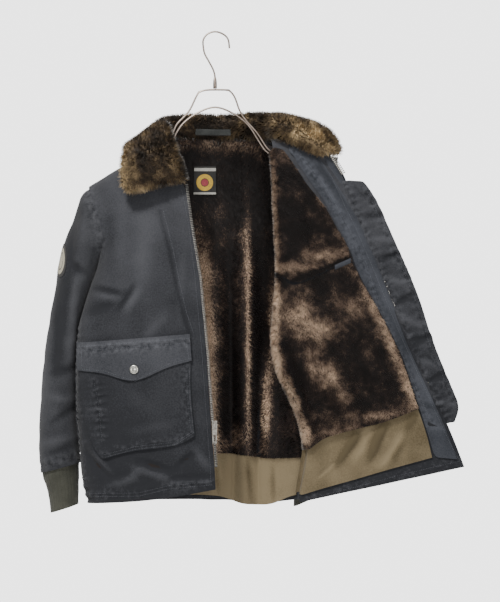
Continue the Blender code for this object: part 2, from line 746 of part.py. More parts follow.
LOOSE = 0.8              # extra room under a piece whose facets differ from the shell's
BEHIND = 0.22            # s to which the left lining goes round the fold
SLIT = [(141, -477), (200, -455), (255, -427)]
FUR_FOOT = [(201, -767), (249, -753), (313, -738), (382, -712)]
BAND_FOOT = [(190, -868), (255, -850), (336, -826), (410, -806)]
FACING_LINE = [
    (127, -216), (143, -235), (160, -256), (175, -280), (198, -311), (215, -341), (228, -368),
    (241, -390), (255, -414), (260, -439), (276, -472), (304, -521), (346, -605), (382, -702),
]
SLIT_T = 0.362           # t of the inner pocket's slit at the fold
FUR_FOOT_T = 0.832
BAND_FOOT_T = 0.975
LINING_TOP = [(0.20, 0.20), (0.30, 0.080), (0.36, 0.030), (0.42, 0.022), (1.0, 0.022)]
LINING_BEHIND = [(0.225, 0.0), (0.225, 0.60), (0.06, 0.75), (0.03, 1.0)]   # s, t


def places_of(points, guess=(0.7, 0.5)):
    return [locate(left_front, x, z, guess) for x, z in points]


def inside(edges, across, down):
    """Grid of places on a surface inside top, bottom, left and right edges.

    Across and down are counts, or shares of the way.
    """
    top, bottom, left, right = [path(edge) for edge in edges]
    across, down = [np.linspace(0, 1, size) if isinstance(size, int) else size for size in (across, down)]
    s, t = grid(across, down)
    places = coons(top, bottom, left, right, s, t)
    return places[..., 0], places[..., 1]


def round_fold(top, bottom, right, across, down):
    """Grid of places that starts behind the fold and runs to the right edge.

    Top and bottom are places in order of s, right is places in order of t.
    """
    top_t = spline(top)
    bottom_t = spline(bottom)
    right_s = spline([(t, s) for s, t in right])
    behind_s = spline([(t, s) for s, t in LINING_BEHIND])
    s_rows = []
    t_rows = []
    for f in np.linspace(0, 1, down):
        end_t = mix(right[0][1], right[-1][1], f)
        end_s = float(right_s(end_t)[0])
        start_t = mix(top[0][1], bottom[0][1], f)
        start_s = float(behind_s(start_t)[0])
        front = mix(FOLD_END, end_s, np.linspace(0, 1, across)[1:])
        s = np.concatenate([[start_s, (start_s + FOLD_START) / 2], FOLD_COLUMNS, front])
        s_rows.append(s)
        t_rows.append(mix(top_t(s)[:, 0], bottom_t(s)[:, 0], f))
    return np.array(s_rows), np.array(t_rows)


def lower(points, drop):
    return [(s, t + drop) for s, t in points]


def make_linings():
    rows = np.concatenate([[0.15 * ROWS[1]], ROWS[1:FUR_ROW + 1]])
    on("lining_back", back_panel, *grid(BACK_COLUMNS[1:-1], rows), -UNDER, PILE, "pile")
    rows = np.concatenate([[ROWS[FUR_ROW] + 0.0006], ROWS[FUR_ROW + 1:-1]])
    on("band_back", back_panel, *grid(BACK_COLUMNS[1:-1], rows), -UNDER, BAND, "olive cloth")
    on("lining_front_right", right_panel, *grid(RIGHT_COLUMNS[1:-2], ROWS[4:-2]), -UNDER, PILE, "pile")

    slit = [(0.0, SLIT_T), (FOLD_END, SLIT_T)] + places_of(SLIT)
    foot = [(0.0, FUR_FOOT_T), (FOLD_END, FUR_FOOT_T)] + places_of(FUR_FOOT)
    band_foot = [(0.0, BAND_FOOT_T), (FOLD_END, BAND_FOOT_T)] + places_of(BAND_FOOT)
    line = places_of(FACING_LINE)
    lift = -UNDER - LOOSE
    places = round_fold(LINING_TOP, slit, line[:9] + [slit[-1]], 8, 9)
    on("lining_left_upper", left_panel, *places, lift, PILE, "pile")
    top = lower(slit, 0.006)
    places = round_fold(top, foot, [top[-1]] + line[10:-1] + [foot[-1]], 10, 12)
    on("lining_left_lower", left_panel, *places, lift, PILE, "pile")
    top = lower(foot, 0.004)
    places = round_fold(top, band_foot, [top[-1], band_foot[-1]], 10, 4)
    on("band_left", left_panel, *places, lift, BAND, "olive cloth")

    seam = [(s + 0.008, max(t, 0.022)) for s, t in line[:-1]] + [(foot[-1][0] + 0.008, foot[-1][1])]
    seam = seam + [(band_foot[-1][0] + 0.008, band_foot[-1][1])]
    facing_edges = ([seam[0], (0.8, 0.022), (0.985, 0.022)], [seam[-1], (0.985, 0.965)],
                    seam, [(0.985, 0.022), (0.985, 0.5), (0.985, 0.965)])
    on("facing_left", left_panel, *inside(facing_edges, 5, 18), lift, FACING, "canvas")


WIND_FLAP = [
    # t of the front edge, outer edge x, z
    (0.070, 283, -284),
    (0.100, 297, -305),
    (0.220, 330, -376),
    (0.340, 362, -447),
    (0.450, 392, -522),
    (0.540, 411, -586),
    (0.640, 437, -648),
    (0.740, 458, -700),
    (0.800, 463, -722),
    (0.830, 452, -738),
]
TOOTH_REACH = 8.0        # from a front's edge to the ends of its zip teeth
TOOTH_DEPTH = 2.2
TAPE_DEPTH = 1.0
ZIP_TOP_T = 0.155
SLIDER_T = 0.80
ZIP_FOOT_T = 0.87


def make_wind_flap():
    """Cloth strip behind the zip, proud of the left front's edge and creased."""
    outline = spline(WIND_FLAP)
    t = np.linspace(0.070, 0.830, 15)
    edge = left_panel.at(1 + 0 * t, t)
    outer = outline(t)
    across = np.linspace(0, 1, 5)
    columns = []
    for f in across:
        x = mix(edge[:, 0] + 0.5, outer[:, 0], f)
        z = mix(edge[:, 2], outer[:, 1], f)
        crease = 5 * f * np.sin(2 * math.pi * (5 * t + 0.8 * f))
        columns.append(np.stack([x, edge[:, 1] - 3.0 - 4 * f + crease, z], axis=-1))
    front = np.stack(columns, axis=1)
    wall("wind_flap", front, front - [0, 1.6, 0], "canvas")


def make_zips():
    """Each half stands along its front's edge: tape behind, teeth in front."""
    t = [ZIP_TOP_T, SLIDER_T - 0.018, SLIDER_T - 0.0125, ZIP_FOOT_T]
    t = np.sort(np.concatenate([t, ROWS[(ROWS > ZIP_TOP_T) & (ROWS < ZIP_FOOT_T)]]))
    edge = right_panel.at(0 * t, t)
    ahead = np.where(t < SLIDER_T - 0.015, 0.0, TOOTH_DEPTH - TAPE_DEPTH)
    for_edge = np.stack([edge[:, 0] + 2 * SEAM, edge[:, 1] + ahead, edge[:, 2]], axis=-1)
    front = np.stack([for_edge, for_edge + [TOOTH_REACH, 0, 0]], axis=1)
    rear = front.copy()
    rear[..., 1] = edge[:, 1, None] + TOOTH_DEPTH
    wall("zip_right", front, rear, "zip metal")
    t = np.concatenate([[0.004], ROWS[(ROWS > 0.004) & (ROWS < 0.90)]])
    edge = left_panel.at(1 + 0 * t, t) + [3 * SEAM, 0, 0]
    front = np.stack([edge, edge + [TOOTH_REACH, 0, 0]], axis=1)
    wall("zip_left", front - [0, 2.0, 0], front, "zip metal")


# Slider and pull tab. The tab's top bar turns under the slider's bridge.

SLIDER = (9.6, 7.0, 16.0)       # width, depth, height
BRIDGE = 3.0                     # width of the bridge
TAB_HALF = 4.2
TAB_THICK = 1.4
WINDOW_HALF = 1.9
TAB_ROWS = (0.7, -0.7, -10.0, -20.0, -32.0, -36.0)   # from the hinge's axis down


def slider_place():
    edge = right_panel.at(0.0, SLIDER_T)
    return edge + np.array([SLIDER[0] / 2 + 1.5, TOOTH_DEPTH - TAPE_DEPTH - SEAM, 0])


def box_mesh(name, low, high):
    corners = [(x, y, z) for x in (low[0], high[0]) for y in (low[1], high[1]) for z in (low[2], high[2])]
    faces = [(0, 1, 3, 2), (4, 6, 7, 5), (0, 4, 5, 1), (2, 3, 7, 6), (0, 2, 6, 4), (1, 5, 7, 3)]
    return add_mesh(name, np.array(corners, float), faces, "zip metal")


def make_slider():
    base = slider_place()
    width, depth, height = SLIDER
    low = base + [-width / 2, -depth, -height / 2]
    high = base + [width / 2, 0, height / 2]
    body = box_mesh("zip_slider", low, high)
    front = low[1]
    bridge_high = base[2] + 5.4
    bridge_low = base[2] - 4.6
    bridge = box_mesh("bridge_cutter", [base[0] - BRIDGE / 2, front - 4.4, bridge_low - 1.4],
                      [base[0] + BRIDGE / 2, front + 1.0, bridge_high + 1.4])
    space = box_mesh("space_cutter", [base[0] - BRIDGE, front - 3.0, bridge_low],
                     [base[0] + BRIDGE, front - 0.02, bridge_high])
    for cutter, operation in ((bridge, "UNION"), (space, "DIFFERENCE")):
        cut = body.modifiers.new(cutter.name, "BOOLEAN")
        cut.operation = operation
        cut.object = cutter
        cutter.hide_render = True
        cutter.display_type = "WIRE"
    soften = body.modifiers.new("soften", "BEVEL")
    soften.width = 0.4 * MM
    soften.segments = 1
    soften.angle_limit = math.radians(40)


def make_tab():
    """Flat tab with a window for the bridge and a slot lower down."""
    base = slider_place()
    axis = np.array([base[0], base[1] - SLIDER[1] - 1.5, base[2] + 1.5])
    columns = (-TAB_HALF, -WINDOW_HALF, WINDOW_HALF, TAB_HALF)
    holes = {(1, 1), (3, 1)}
    points = []
    for y in (-TAB_THICK / 2, TAB_THICK / 2):
        for z in TAB_ROWS:
            points.extend((x, y, z) for x in columns)
    per_side = len(TAB_ROWS) * len(columns)

    def at(row, column, side):
        return side * per_side + row * len(columns) + column

    solid = {(r, c) for r in range(len(TAB_ROWS) - 1) for c in range(3)} - holes
    faces = []
    for r, c in solid:
        faces.append((at(r, c, 0), at(r, c + 1, 0), at(r + 1, c + 1, 0), at(r + 1, c, 0)))
        faces.append((at(r, c, 1), at(r + 1, c, 1), at(r + 1, c + 1, 1), at(r, c + 1, 1)))
        rims = (((r - 1, c), (r, c), (r, c + 1)), ((r + 1, c), (r + 1, c + 1), (r + 1, c)),
                ((r, c - 1), (r + 1, c), (r, c)), ((r, c + 1), (r, c + 1), (r + 1, c + 1)))
        for beyond, a, b in rims:
            if beyond not in solid:
                faces.append((at(*a, 0), at(*a, 1), at(*b, 1), at(*b, 0)))
    tab = add_mesh("zip_pull", np.array(points, float), faces, "zip metal")
    tab.location = tuple(axis * MM)


# Pockets, snaps, badge and label

BAG = [   # top, bottom, left and right edges of the right pocket, front view
    [(-254, -600), (-150, -592), (-45, -583)],
    [(-212, -807), (-150, -790), (-72, -781), (-37, -762)],
    [(-254, -600), (-250, -680), (-232, -770), (-212, -807)],
    [(-45, -583), (-44, -690), (-37, -762)],
]
FLAP = [
    [(-255, -588), (-150, -580), (-47, -572)],
    [(-254, -640), (-206, -646), (-168, -659), (-148, -665), (-126, -653), (-84, -632), (-43, -622)],
    [(-255, -588), (-254, -640)],
    [(-47, -572), (-43, -622)],
]
SNAP_AT = (-150, -638)
POCKET_COLUMNS = np.array([0, 0.05, 0.10, 0.15, 0.20, 0.30, 0.44, 0.58, 0.72, 0.86, 1])
TURN_LIFT = 1.4
BAG_LIFT = 0.8
BAG_THICK = 2.6
FLAP_LIFT = BAG_LIFT + BAG_THICK + 0.8
FLAP_THICK = 2.0
SNAP_PROFILE = [(8.5, 0.0), (8.5, 1.2), (7.4, 2.2), (6.0, 2.5), (4.6, 2.1), (2.4, 2.2), (0.8, 2.6)]


def front_patch(name, surface, panel, outline, size, guess, lift, thickness, look):
    """Piece on a panel, inside four edges that are given as the front view shows them.

    It stands a little further off where the panel turns round the side.
    """
    edges = [[locate(surface, x, z, guess) for x, z in edge] for edge in outline]
    s, t = inside(edges, *size)
    return on(name, panel, s, t, lift + TURN_LIFT * step((s - 0.76) / 0.05), thickness, look)


def make_right_pocket():
    guess = (0.5, 0.6)
    front_patch("pocket_right", right_front, right_panel, BAG, (POCKET_COLUMNS, 7), guess,
                BAG_LIFT + BAG_THICK, BAG_THICK, "canvas")
    front_patch("pocket_flap_right", right_front, right_panel, FLAP, (POCKET_COLUMNS, 4), guess,
                FLAP_LIFT + FLAP_THICK, FLAP_THICK, "canvas")
    place = locate(right_front, *SNAP_AT, guess)
    base = right_panel.at(*place)
    outward = right_panel.at(*place, 1.0) - base
    outward = outward / np.linalg.norm(outward)
    centre = base + outward * (FLAP_LIFT + FLAP_THICK + 0.5)
    side = np.cross(outward, [0, 0, 1.0])
    side = side / np.linalg.norm(side)
    up = np.cross(side, outward)
    rings = []
    for radius, height in SNAP_PROFILE:
        turn = np.linspace(0, 2 * math.pi, 17)[:-1, None]
        rings.append(centre + outward * height + radius * (np.cos(turn) * side + np.sin(turn) * up))
    loft("snap_right", np.array(rings), "snap metal")


def make_left_pocket():
    """Its twin, on the turned-out front's outer face, which faces away."""
    bag = ([(0.52, 0.60), (0.93, 0.60)], [(0.58, 0.90), (0.93, 0.88)],
           [(0.52, 0.60), (0.52, 0.80), (0.58, 0.90)], [(0.93, 0.60), (0.93, 0.88)])
    flap = ([(0.51, 0.585), (0.94, 0.585)],
            [(0.51, 0.66), (0.62, 0.67), (0.725, 0.695), (0.83, 0.67), (0.94, 0.66)],
            [(0.51, 0.585), (0.51, 0.66)], [(0.94, 0.585), (0.94, 0.66)])
    on("pocket_left", left_panel, *inside(bag, 9, 7), BAG_LIFT + BAG_THICK, BAG_THICK, "canvas")
    on("pocket_flap_left", left_panel, *inside(flap, 11, 4), FLAP_LIFT + FLAP_THICK, FLAP_THICK, "canvas")


def make_badge():
    """Round cloth badge on the right sleeve's outer side."""
    u, v = grid(np.linspace(-1, 1, 7), np.linspace(-1, 1, 7))
    s = 0.095 + 0.085 * u * np.sqrt(1 - v * v / 2)
    t = 0.232 + 0.058 * v * np.sqrt(1 - u * u / 2)
    on("sleeve_patch", right_sleeve_panel, s, t, 2.0, 1.2, "badge cloth")


def make_label():
    edges = [[(-42, -249), (1, -249)], [(-42, -305), (1, -305)],
             [(-42, -249), (-42, -305)], [(1, -249), (1, -305)]]
    front_patch("neck_label", back, back_panel, edges, (7, 5), (0.45, 0.1), -LINED - LOOSE, 0.8, "label cloth")


# Hanger

HOOK = [(27.5, -30), (25.5, -14), (15, -2.5), (0, 1.9), (-14, -2.5), (-23, -17), (-21, -36),
        (-11, -56), (-2.5, -73), (0, -84), (0, -93), (0, -100), (0, -106.4)]
UPPER_WIRE = [   # x, y, z from the right shoulder to the left
    (-98, 5, -222), (-87, 3, -210), (-81, 1, -195), (-76, 0, -178), (-49, 0, -150), (-36, 0, -122),
    (-30, 0, -112), (-22, 0, -108.7), (0, 0, -108.7), (24, 0, -108.7), (32, 0, -112), (40, 0, -128),
    (46, 0, -148), (58, 1, -166), (80, 2, -190), (91, 1, -207), (101, 0, -223),
]
LOWER_WIRE = [   # and back again under it
    (100, 0, -230), (88, 1, -214), (62, 1, -174), (32, 0, -152), (0, 0, -141), (-36, 0, -154),
    (-66, 0, -178), (-77, 1, -198), (-84, 3, -214), (-97, 5, -228),
]
ARM_FROM = 116           # x where each arm comes to lie under its shoulder
ARM_TO = 204
ARM_GAP = 5.2            # between the centres of an arm's two wires


def arm(direction, columns):
    """Centres of the wire under the back's lining, from the neck outwards."""
    s = np.linspace(0.0, 1.0, 401)
    x = back(s, 0 * s)[:, 0]
    centres = []
    for reach in np.linspace(ARM_FROM, ARM_TO, columns):
        at_s = np.interp(direction * reach, x, s)
        face = back_panel.at(np.array([at_s, at_s]), ROWS[:2], -LINED)
        along = (face[1] - face[0]) / np.linalg.norm(face[1] - face[0])
        ahead = back(np.array(at_s + 0.01), np.array(0.0)) - back(np.array(at_s - 0.01), np.array(0.0))
        down = np.cross(along, ahead / np.linalg.norm(ahead))
        down = down * -np.sign(down[2])
        centres.append(face[0] + along * 5 + down * (WIRE + 1.2))
    return np.array(centres)


def make_hanger():
    hook = path([(x, 0, z) for x, z in HOOK])(np.linspace(0, 1, 34))
    ferrule = [2.3 if point[2] < -88 else 1.0 for point in hook]
    tube("hanger_hook", hook, WIRE, "chrome", radii=ferrule)
    right = arm(-1, 6)
    left = arm(1, 6)
    drop = np.array([0, 0, -ARM_GAP])
    tip_right = right[-1] + [-2.6, 0, -ARM_GAP / 2 - 1.4]
    tip_left = left[-1] + [2.6, 0, -ARM_GAP / 2 - 1.4]
    loop = [*right[::-1]]
    loop += [np.array(point) for point in UPPER_WIRE]
    loop += [*left, tip_left, *(left[::-1] + drop)]
    loop += [np.array(point) for point in LOWER_WIRE]
    loop += [*(right + drop), tip_right]
    closed = loop + [loop[0]]
    points = path(closed)(np.linspace(0, 1, 75)[:-1])
    tube("hanger_frame", points, WIRE, "chrome", closed=True)


def build():
    make_shell()
    make_sleeves()
    make_linings()
    make_wind_flap()
    make_zips()
    make_slider()
    make_tab()
    make_right_pocket()
    make_left_pocket()
    make_badge()
    make_label()
    make_collar()
    make_hanger()


MATERIALS = make_materials()
build()
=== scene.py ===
# %% [markdown]
# A sherpa jacket hangs on a chrome wire hanger, with its left front turned out
# to show the brown pile inside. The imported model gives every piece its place
# and size. This lesson gives the cloth its creases, grows the fur, sews the
# seams and finishes each material. Lengths in the tables are in millimetres.

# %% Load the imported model
import math

import bmesh
import bpy
import numpy as np
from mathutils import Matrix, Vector, noise
from mathutils.bvhtree import BVHTree


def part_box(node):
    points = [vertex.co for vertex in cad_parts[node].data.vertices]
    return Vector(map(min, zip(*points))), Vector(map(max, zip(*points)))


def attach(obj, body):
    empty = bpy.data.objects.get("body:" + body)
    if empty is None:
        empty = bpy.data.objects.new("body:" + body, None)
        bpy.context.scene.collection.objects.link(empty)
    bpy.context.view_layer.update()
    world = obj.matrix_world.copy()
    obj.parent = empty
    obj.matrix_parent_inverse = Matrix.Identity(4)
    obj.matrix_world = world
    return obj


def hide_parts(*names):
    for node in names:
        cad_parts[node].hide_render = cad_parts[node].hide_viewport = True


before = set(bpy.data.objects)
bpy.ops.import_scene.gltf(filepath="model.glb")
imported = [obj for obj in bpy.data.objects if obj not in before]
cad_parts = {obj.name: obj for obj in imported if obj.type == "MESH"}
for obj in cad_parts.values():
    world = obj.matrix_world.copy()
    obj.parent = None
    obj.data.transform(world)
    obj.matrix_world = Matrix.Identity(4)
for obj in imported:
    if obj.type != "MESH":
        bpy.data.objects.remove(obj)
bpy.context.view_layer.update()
MM = 0.001

# %% [markdown]
# The jacket was photographed straight on from a few metres away. A long lens
# keeps the near pocket and the far sleeve at nearly one scale, as there.

# %% Camera
DISTANCE = 5.0
SEEN_HEIGHT = 602 * 1.9 * MM
CENTRE = Vector((0.0665, 0.0, -0.510))
lens = bpy.data.cameras.new("camera")
lens.sensor_width = 36
lens.lens = 36 * DISTANCE / SEEN_HEIGHT
lens.clip_end = 50
camera = bpy.data.objects.new("camera", lens)
bpy.context.scene.collection.objects.link(camera)
camera.location = CENTRE + Vector((0, -DISTANCE, 0))
camera.rotation_euler = (math.radians(90), 0, 0)
bpy.context.scene.camera = camera
print("lens", round(lens.lens, 1), "mm")

# %% [markdown]
# Shader sums read best as plain arithmetic, so one small class wraps a socket
# and adds a Math node for each operator. Other nodes come from one method.

# %% Shader helper


class Socket:
    """One output of a node, which adds, subtracts and multiplies like a number."""

    def __init__(self, material, link):
        self.material = material
        self.link = link

    def sum_with(self, other, operation, swap=False):
        values = [other, self] if swap else [self, other]
        return self.material.node("ShaderNodeMath", {"operation": operation}, values)

    def __add__(self, other):
        return self.sum_with(other, "ADD")

    def __mul__(self, other):
        return self.sum_with(other, "MULTIPLY")

    def __sub__(self, other):
        return self.sum_with(other, "SUBTRACT")

    def __rsub__(self, other):
        return self.sum_with(other, "SUBTRACT", swap=True)

    __radd__ = __add__
    __rmul__ = __mul__


class Finish:
    """A material whose Principled shader takes numbers, or links that vary over the surface."""

    def __init__(self, name, **constants):
        self.material = bpy.data.materials.new(name)
        self.material.use_nodes = True
        self.tree = self.material.node_tree
        self.shader = self.tree.nodes["Principled BSDF"]
        for socket, value in constants.items():
            self.shader.inputs[socket.replace("_", " ")].default_value = value

    def node(self, kind, settings=None, values=(), output=0):
        made = self.tree.nodes.new(kind)
        for key, value in (settings or {}).items():
            setattr(made, key, value)
        pairs = values.items() if isinstance(values, dict) else enumerate(values)
        for key, value in pairs:
            if isinstance(value, Socket):
                self.tree.links.new(value.link, made.inputs[key])
            else:
                made.inputs[key].default_value = value
        return Socket(self, made.outputs[output])

    def place(self):
        return self.node("ShaderNodeTexCoord", output=3)

    def noise(self, scale, detail=2.0):
        return self.node("ShaderNodeTexNoise", {},
                         {"Vector": self.place(), "Scale": scale, "Detail": detail})

    def level(self):
        """Height above the rail, in metres."""
        return self.node("ShaderNodeSeparateXYZ", {}, [self.place()], output=2)

    def ramp(self, share, stops):
        made = self.tree.nodes.new("ShaderNodeValToRGB")
        ramp = made.color_ramp
        while len(ramp.elements) < len(stops):
            ramp.elements.new(0.5)
        for element, (at, colour) in zip(ramp.elements, stops):
            element.position = at
            element.color = (*colour, 1)
        self.tree.links.new(share.link, made.inputs[0])
        return Socket(self, made.outputs[0])

    def mixed(self, share, one, other):
        settings = {"data_type": "RGBA"}
        return self.node("ShaderNodeMix", settings, {0: share, 6: one, 7: other}, output=2)

    def attribute(self, name):
        return self.node("ShaderNodeAttribute", {"attribute_name": name}, output=2)

    def feed(self, socket, value):
        self.tree.links.new(value.link, self.shader.inputs[socket])

    def bump(self, height, strength, distance):
        values = {"Height": height, "Strength": strength, "Distance": distance}
        self.feed("Normal", self.node("ShaderNodeBump", {}, values))


# %% [markdown]
# The canvas is a washed cotton twill. Its colour is a dark blue grey that has
# faded where the cloth stands proud, with painted shade in its troughs and
# grooves and painted shade from the chest down, and its weave is finer than a
# millimetre.
# Noise at several scales gives the drift of the dye, the flecks of the yarn and
# the small ripples near a seam, and a wave texture gives the twill's diagonals.

# %% Canvas


CHEST_LEVEL = -0.42


def canvas(name, dark, light, fade=0.3, painted_low_shade=0.0):
    """Washed cloth. Fade lightens what stands proud, for its fading, and darkens troughs and grooves as
    painted shade. The last argument paints shade that darkens it from the chest down.
    """
    finish = Finish(name, Roughness=0.86, Specular_IOR_Level=0.25, Sheen_Weight=0.12, Sheen_Roughness=0.5)
    drift = finish.noise(9.0, 4.0)
    fleck = finish.noise(420.0, 3.0)
    wear_and_crease_shade = finish.attribute("wear_and_crease_shade")
    seam = finish.attribute("seam")
    ripple = finish.noise(120.0, 3.0)
    # Painted shade: the cloth gets darker from the chest down.
    shade = (finish.level() - CHEST_LEVEL) * painted_low_shade
    # Proud cloth is lighter for its fading, and troughs and grooves get painted shade.
    tone_and_painted_light = drift * 0.45 + fleck * 0.50 + wear_and_crease_shade * fade + seam * (ripple - 0.45) * 1.3 + shade
    finish.feed("Base Color", finish.ramp(tone_and_painted_light, [(0.25, dark), (0.75, light)]))
    twill = finish.node("ShaderNodeTexWave", {"bands_direction": "DIAGONAL"},
                        {"Vector": finish.place(), "Scale": 420.0, "Distortion": 1.5, "Detail": 1.0})
    grain = twill * 0.10 + finish.noise(260.0, 3.0) * 0.25
    finish.bump(grain + finish.noise(48.0, 5.0) * 1.6 + seam * ripple * 2.6, 0.55, 0.0016)
    return finish.material


SHELL_CLOTH = canvas("shell_canvas", (0.018, 0.019, 0.023), (0.066, 0.068, 0.077), 0.3, 0.62)
SLEEVE_CLOTH = canvas("sleeve_canvas", (0.020, 0.021, 0.025), (0.067, 0.069, 0.077), 0.3, 0.0)
# A lighter copy of the shell canvas for the right pocket flap: painted light that the flap catches.
LIT_FLAP_CLOTH = canvas("lit_flap_canvas", (0.026, 0.028, 0.034), (0.098, 0.101, 0.114), 0.3, 0.2)
FACING_CLOTH = canvas("facing_canvas", (0.026, 0.029, 0.036), (0.072, 0.077, 0.092))
OLIVE_CLOTH = canvas("olive_cloth", (0.100, 0.076, 0.040), (0.235, 0.185, 0.110), 0.5)
LOOP_CLOTH = canvas("loop_cloth", (0.022, 0.025, 0.025), (0.078, 0.082, 0.078))

# %% [markdown]
# Every cloth panel starts as one side of its CAD wall. The triangles are
# joined to quads and smoothed, the creases are pressed in from tables
# of where they run, and Solidify gives the cloth its thickness again.
# Simulation would find a hang of its own, and this one is the photograph's.

# %% Cloth from a CAD wall
FRONT = Vector((0, -1, 0))
REAR = Vector((0, 1, 0))
SIDE_ANGLE = math.radians(55)
SEAM_REACH = 11
# Crease height that gives the full mark of fading and painted shade.
FULL_WEAR_AND_SHADE = 4


def alone(thing):
    bpy.ops.object.select_all(action="DESELECT")
    thing.select_set(True)
    bpy.context.view_layer.objects.active = thing


def finish_modifier(thing, kind, **settings):
    alone(thing)
    made = thing.modifiers.new(kind, kind)
    for key, value in settings.items():
        setattr(made, key, value)
    bpy.ops.object.modifier_apply(modifier=made.name)


def subdivide(thing, levels, **settings):
    finish_modifier(thing, "SUBSURF", levels=levels, render_levels=levels, **settings)


def linked(name, mesh, material):
    thing = bpy.data.objects.new(name, mesh)
    bpy.context.scene.collection.objects.link(thing)
    mesh.materials.append(material)
    return thing


def new_object(name, work, material):
    mesh = bpy.data.meshes.new(name)
    work.to_mesh(mesh)
    work.free()
    return linked(name, mesh, material)


def from_points(name, points, faces, material):
    """An object from points in millimetres."""
    mesh = bpy.data.meshes.new(name)
    mesh.from_pydata((points.reshape(-1, 3) * MM).tolist(), [], faces)
    return linked(name, mesh, material)


def merged(node):
    work = bmesh.new()
    work.from_mesh(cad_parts[node].data)
    bmesh.ops.remove_doubles(work, verts=work.verts, dist=0.00002)
    return work


def sides(work):
    """The faces of a closed wall as groups that meet at less than a sharp angle."""
    left = set(work.faces)
    groups = []
    while left:
        reached = [left.pop()]
        for face in reached:
            for edge in face.edges:
                if len(edge.link_faces) == 2 and edge.calc_face_angle(0) < SIDE_ANGLE:
                    for other in edge.link_faces:
                        if other in left:
                            left.discard(other)
                            reached.append(other)
        groups.append(reached)
    return sorted(groups, key=lambda group: -sum(face.calc_area() for face in group))


def tuck(work, edge_test, shift):
    """Lets a seam allowance run on behind the next piece, from the boundary edges that pass a test."""
    edges = []
    for edge in work.edges:
        first, second = edge.verts[0].co, edge.verts[1].co
        if edge.is_boundary and edge_test((first + second) / (2 * MM), (second - first).normalized()):
            edges.append(edge)
    made = bmesh.ops.extrude_edge_only(work, edges=edges)["geom"]
    bmesh.ops.translate(work, verts=[v for v in made if isinstance(v, bmesh.types.BMVert)],
                        vec=Vector(shift) * MM)


def one_side(name, node, material, toward=None, levels=2, allowance=None):
    """An open smooth sheet from the outer side of a node's wall, or the side that looks toward."""
    work = merged(node)
    groups = sides(work)[:2]
    keep = groups[0]
    if toward is not None:
        facing = [sum((f.normal * f.calc_area() for f in group), Vector()).dot(toward) for group in groups]
        keep = groups[int(np.argmax(facing))]
    kept = set(keep)
    bmesh.ops.delete(work, geom=[face for face in work.faces if face not in kept], context="FACES")
    bmesh.ops.join_triangles(work, faces=work.faces[:], angle_face_threshold=math.pi,
                             angle_shape_threshold=math.pi)
    for edge_test, shift in allowance or []:
        tuck(work, edge_test, shift)
    thing = new_object(name, work, material)
    subdivide(thing, levels, boundary_smooth="PRESERVE_CORNERS")
    return thing


def points_of(thing):
    count = len(thing.data.vertices)
    points = np.zeros(count * 3)
    normals = np.zeros(count * 3)
    thing.data.vertices.foreach_get("co", points)
    thing.data.vertices.foreach_get("normal", normals)
    return points.reshape(-1, 3) / MM, normals.reshape(-1, 3)


def move_to(thing, points):
    thing.data.vertices.foreach_set("co", (points * MM).ravel())
    thing.data.update()


def mark(thing, name, values):
    """Keeps a number at each point, which the finish reads."""
    made = thing.data.attributes.new(name, "FLOAT", "POINT")
    made.data.foreach_set("value", np.asarray(values).astype(np.float32))


def press(thing, height, direction=None, seams=()):
    """Moves each point by its height in millimetres. Height is kept as a mark that lightens proud cloth for
    its fading and darkens troughs as painted shade, and nearness to a seam is kept too.
    """
    points, normals = points_of(thing)
    high = height(points, normals)
    way = normals if direction is None else np.array(direction, float)
    move_to(thing, points + way * high[:, None])
    mark(thing, "wear_and_crease_shade", np.clip(high / FULL_WEAR_AND_SHADE, -1, 1))
    near = [np.exp(-(seam_places(points, line)[0] / SEAM_REACH) ** 2) for line in seams]
    mark(thing, "seam", np.max(near + [np.zeros(len(points))], axis=0))


def settle(thing, node=None):
    """The piece rides on the jacket and stands for its CAD node, which is hidden."""
    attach(thing, "jacket")
    if node:
        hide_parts(node)


def thicken(thing, thickness, node=None):
    finish_modifier(thing, "SOLIDIFY", thickness=thickness * MM, offset=-1)
    alone(thing)
    bpy.ops.object.shade_smooth_by_angle(angle=math.radians(60))
    settle(thing, node)
    print(thing.name, len(thing.data.polygons), "faces")


def panel(name, node, cloth, toward, levels, height, direction=None, seams=(),
          thickness=1.6, allowance=None):
    """One finished piece of cloth: its side of the wall, pressed and thickened."""
    thing = one_side(name, node, cloth, toward, levels, allowance)
    press(thing, height, direction, seams)
    thicken(thing, thickness, node)
    return thing


# %% [markdown]
# A crease is a soft trough or ridge along a line on the front view. Puckers
# are the short ripples that a row of stitches draws up, and they cross their
# seam. Rumple is the slight unevenness of all washed cloth.

# %% Creases, puckers and rumple


def crease(points, rows):
    """Height of creases: x, z of both ends, half-width, height (less than 0 is a trough)."""
    total = np.zeros(len(points))
    flat = points[:, [0, 2]]
    for x1, z1, x2, z2, half, height in rows:
        start = np.array([x1, z1], float)
        along = np.array([x2, z2], float) - start
        share = np.clip(((flat - start) @ along) / (along @ along), 0, 1)
        off = flat - start - share[:, None] * along
        away = np.linalg.norm(off, axis=1) / half
        beside = (off @ np.array([-along[1], along[0]])) / np.linalg.norm(along) / half
        fade = np.sin(math.pi * np.clip(0.12 + 0.80 * share, 0, 1)) ** 0.7
        hollow = 0.35 * np.exp(-(beside - 1.8) ** 2 - 0.3 * away ** 2)
        total += height * fade * (np.exp(-away ** 2) - hollow)
    return total


def seam_places(points, line):
    """Distance from a line of x, z points, and how far along it, in millimetres."""
    flat = points[:, [0, 2]]
    best = np.full(len(points), 1e9)
    run = np.zeros(len(points))
    done = 0.0
    line = np.array(line, float)
    for start, end in zip(line[:-1], line[1:]):
        along = end - start
        length = np.linalg.norm(along)
        share = np.clip(((flat - start) @ along) / (along @ along), 0, 1)
        off = np.linalg.norm(flat - start - share[:, None] * along, axis=1)
        nearer = off < best
        best[nearer] = off[nearer]
        run[nearer] = (done + share * length)[nearer]
        done += length
    return best, run


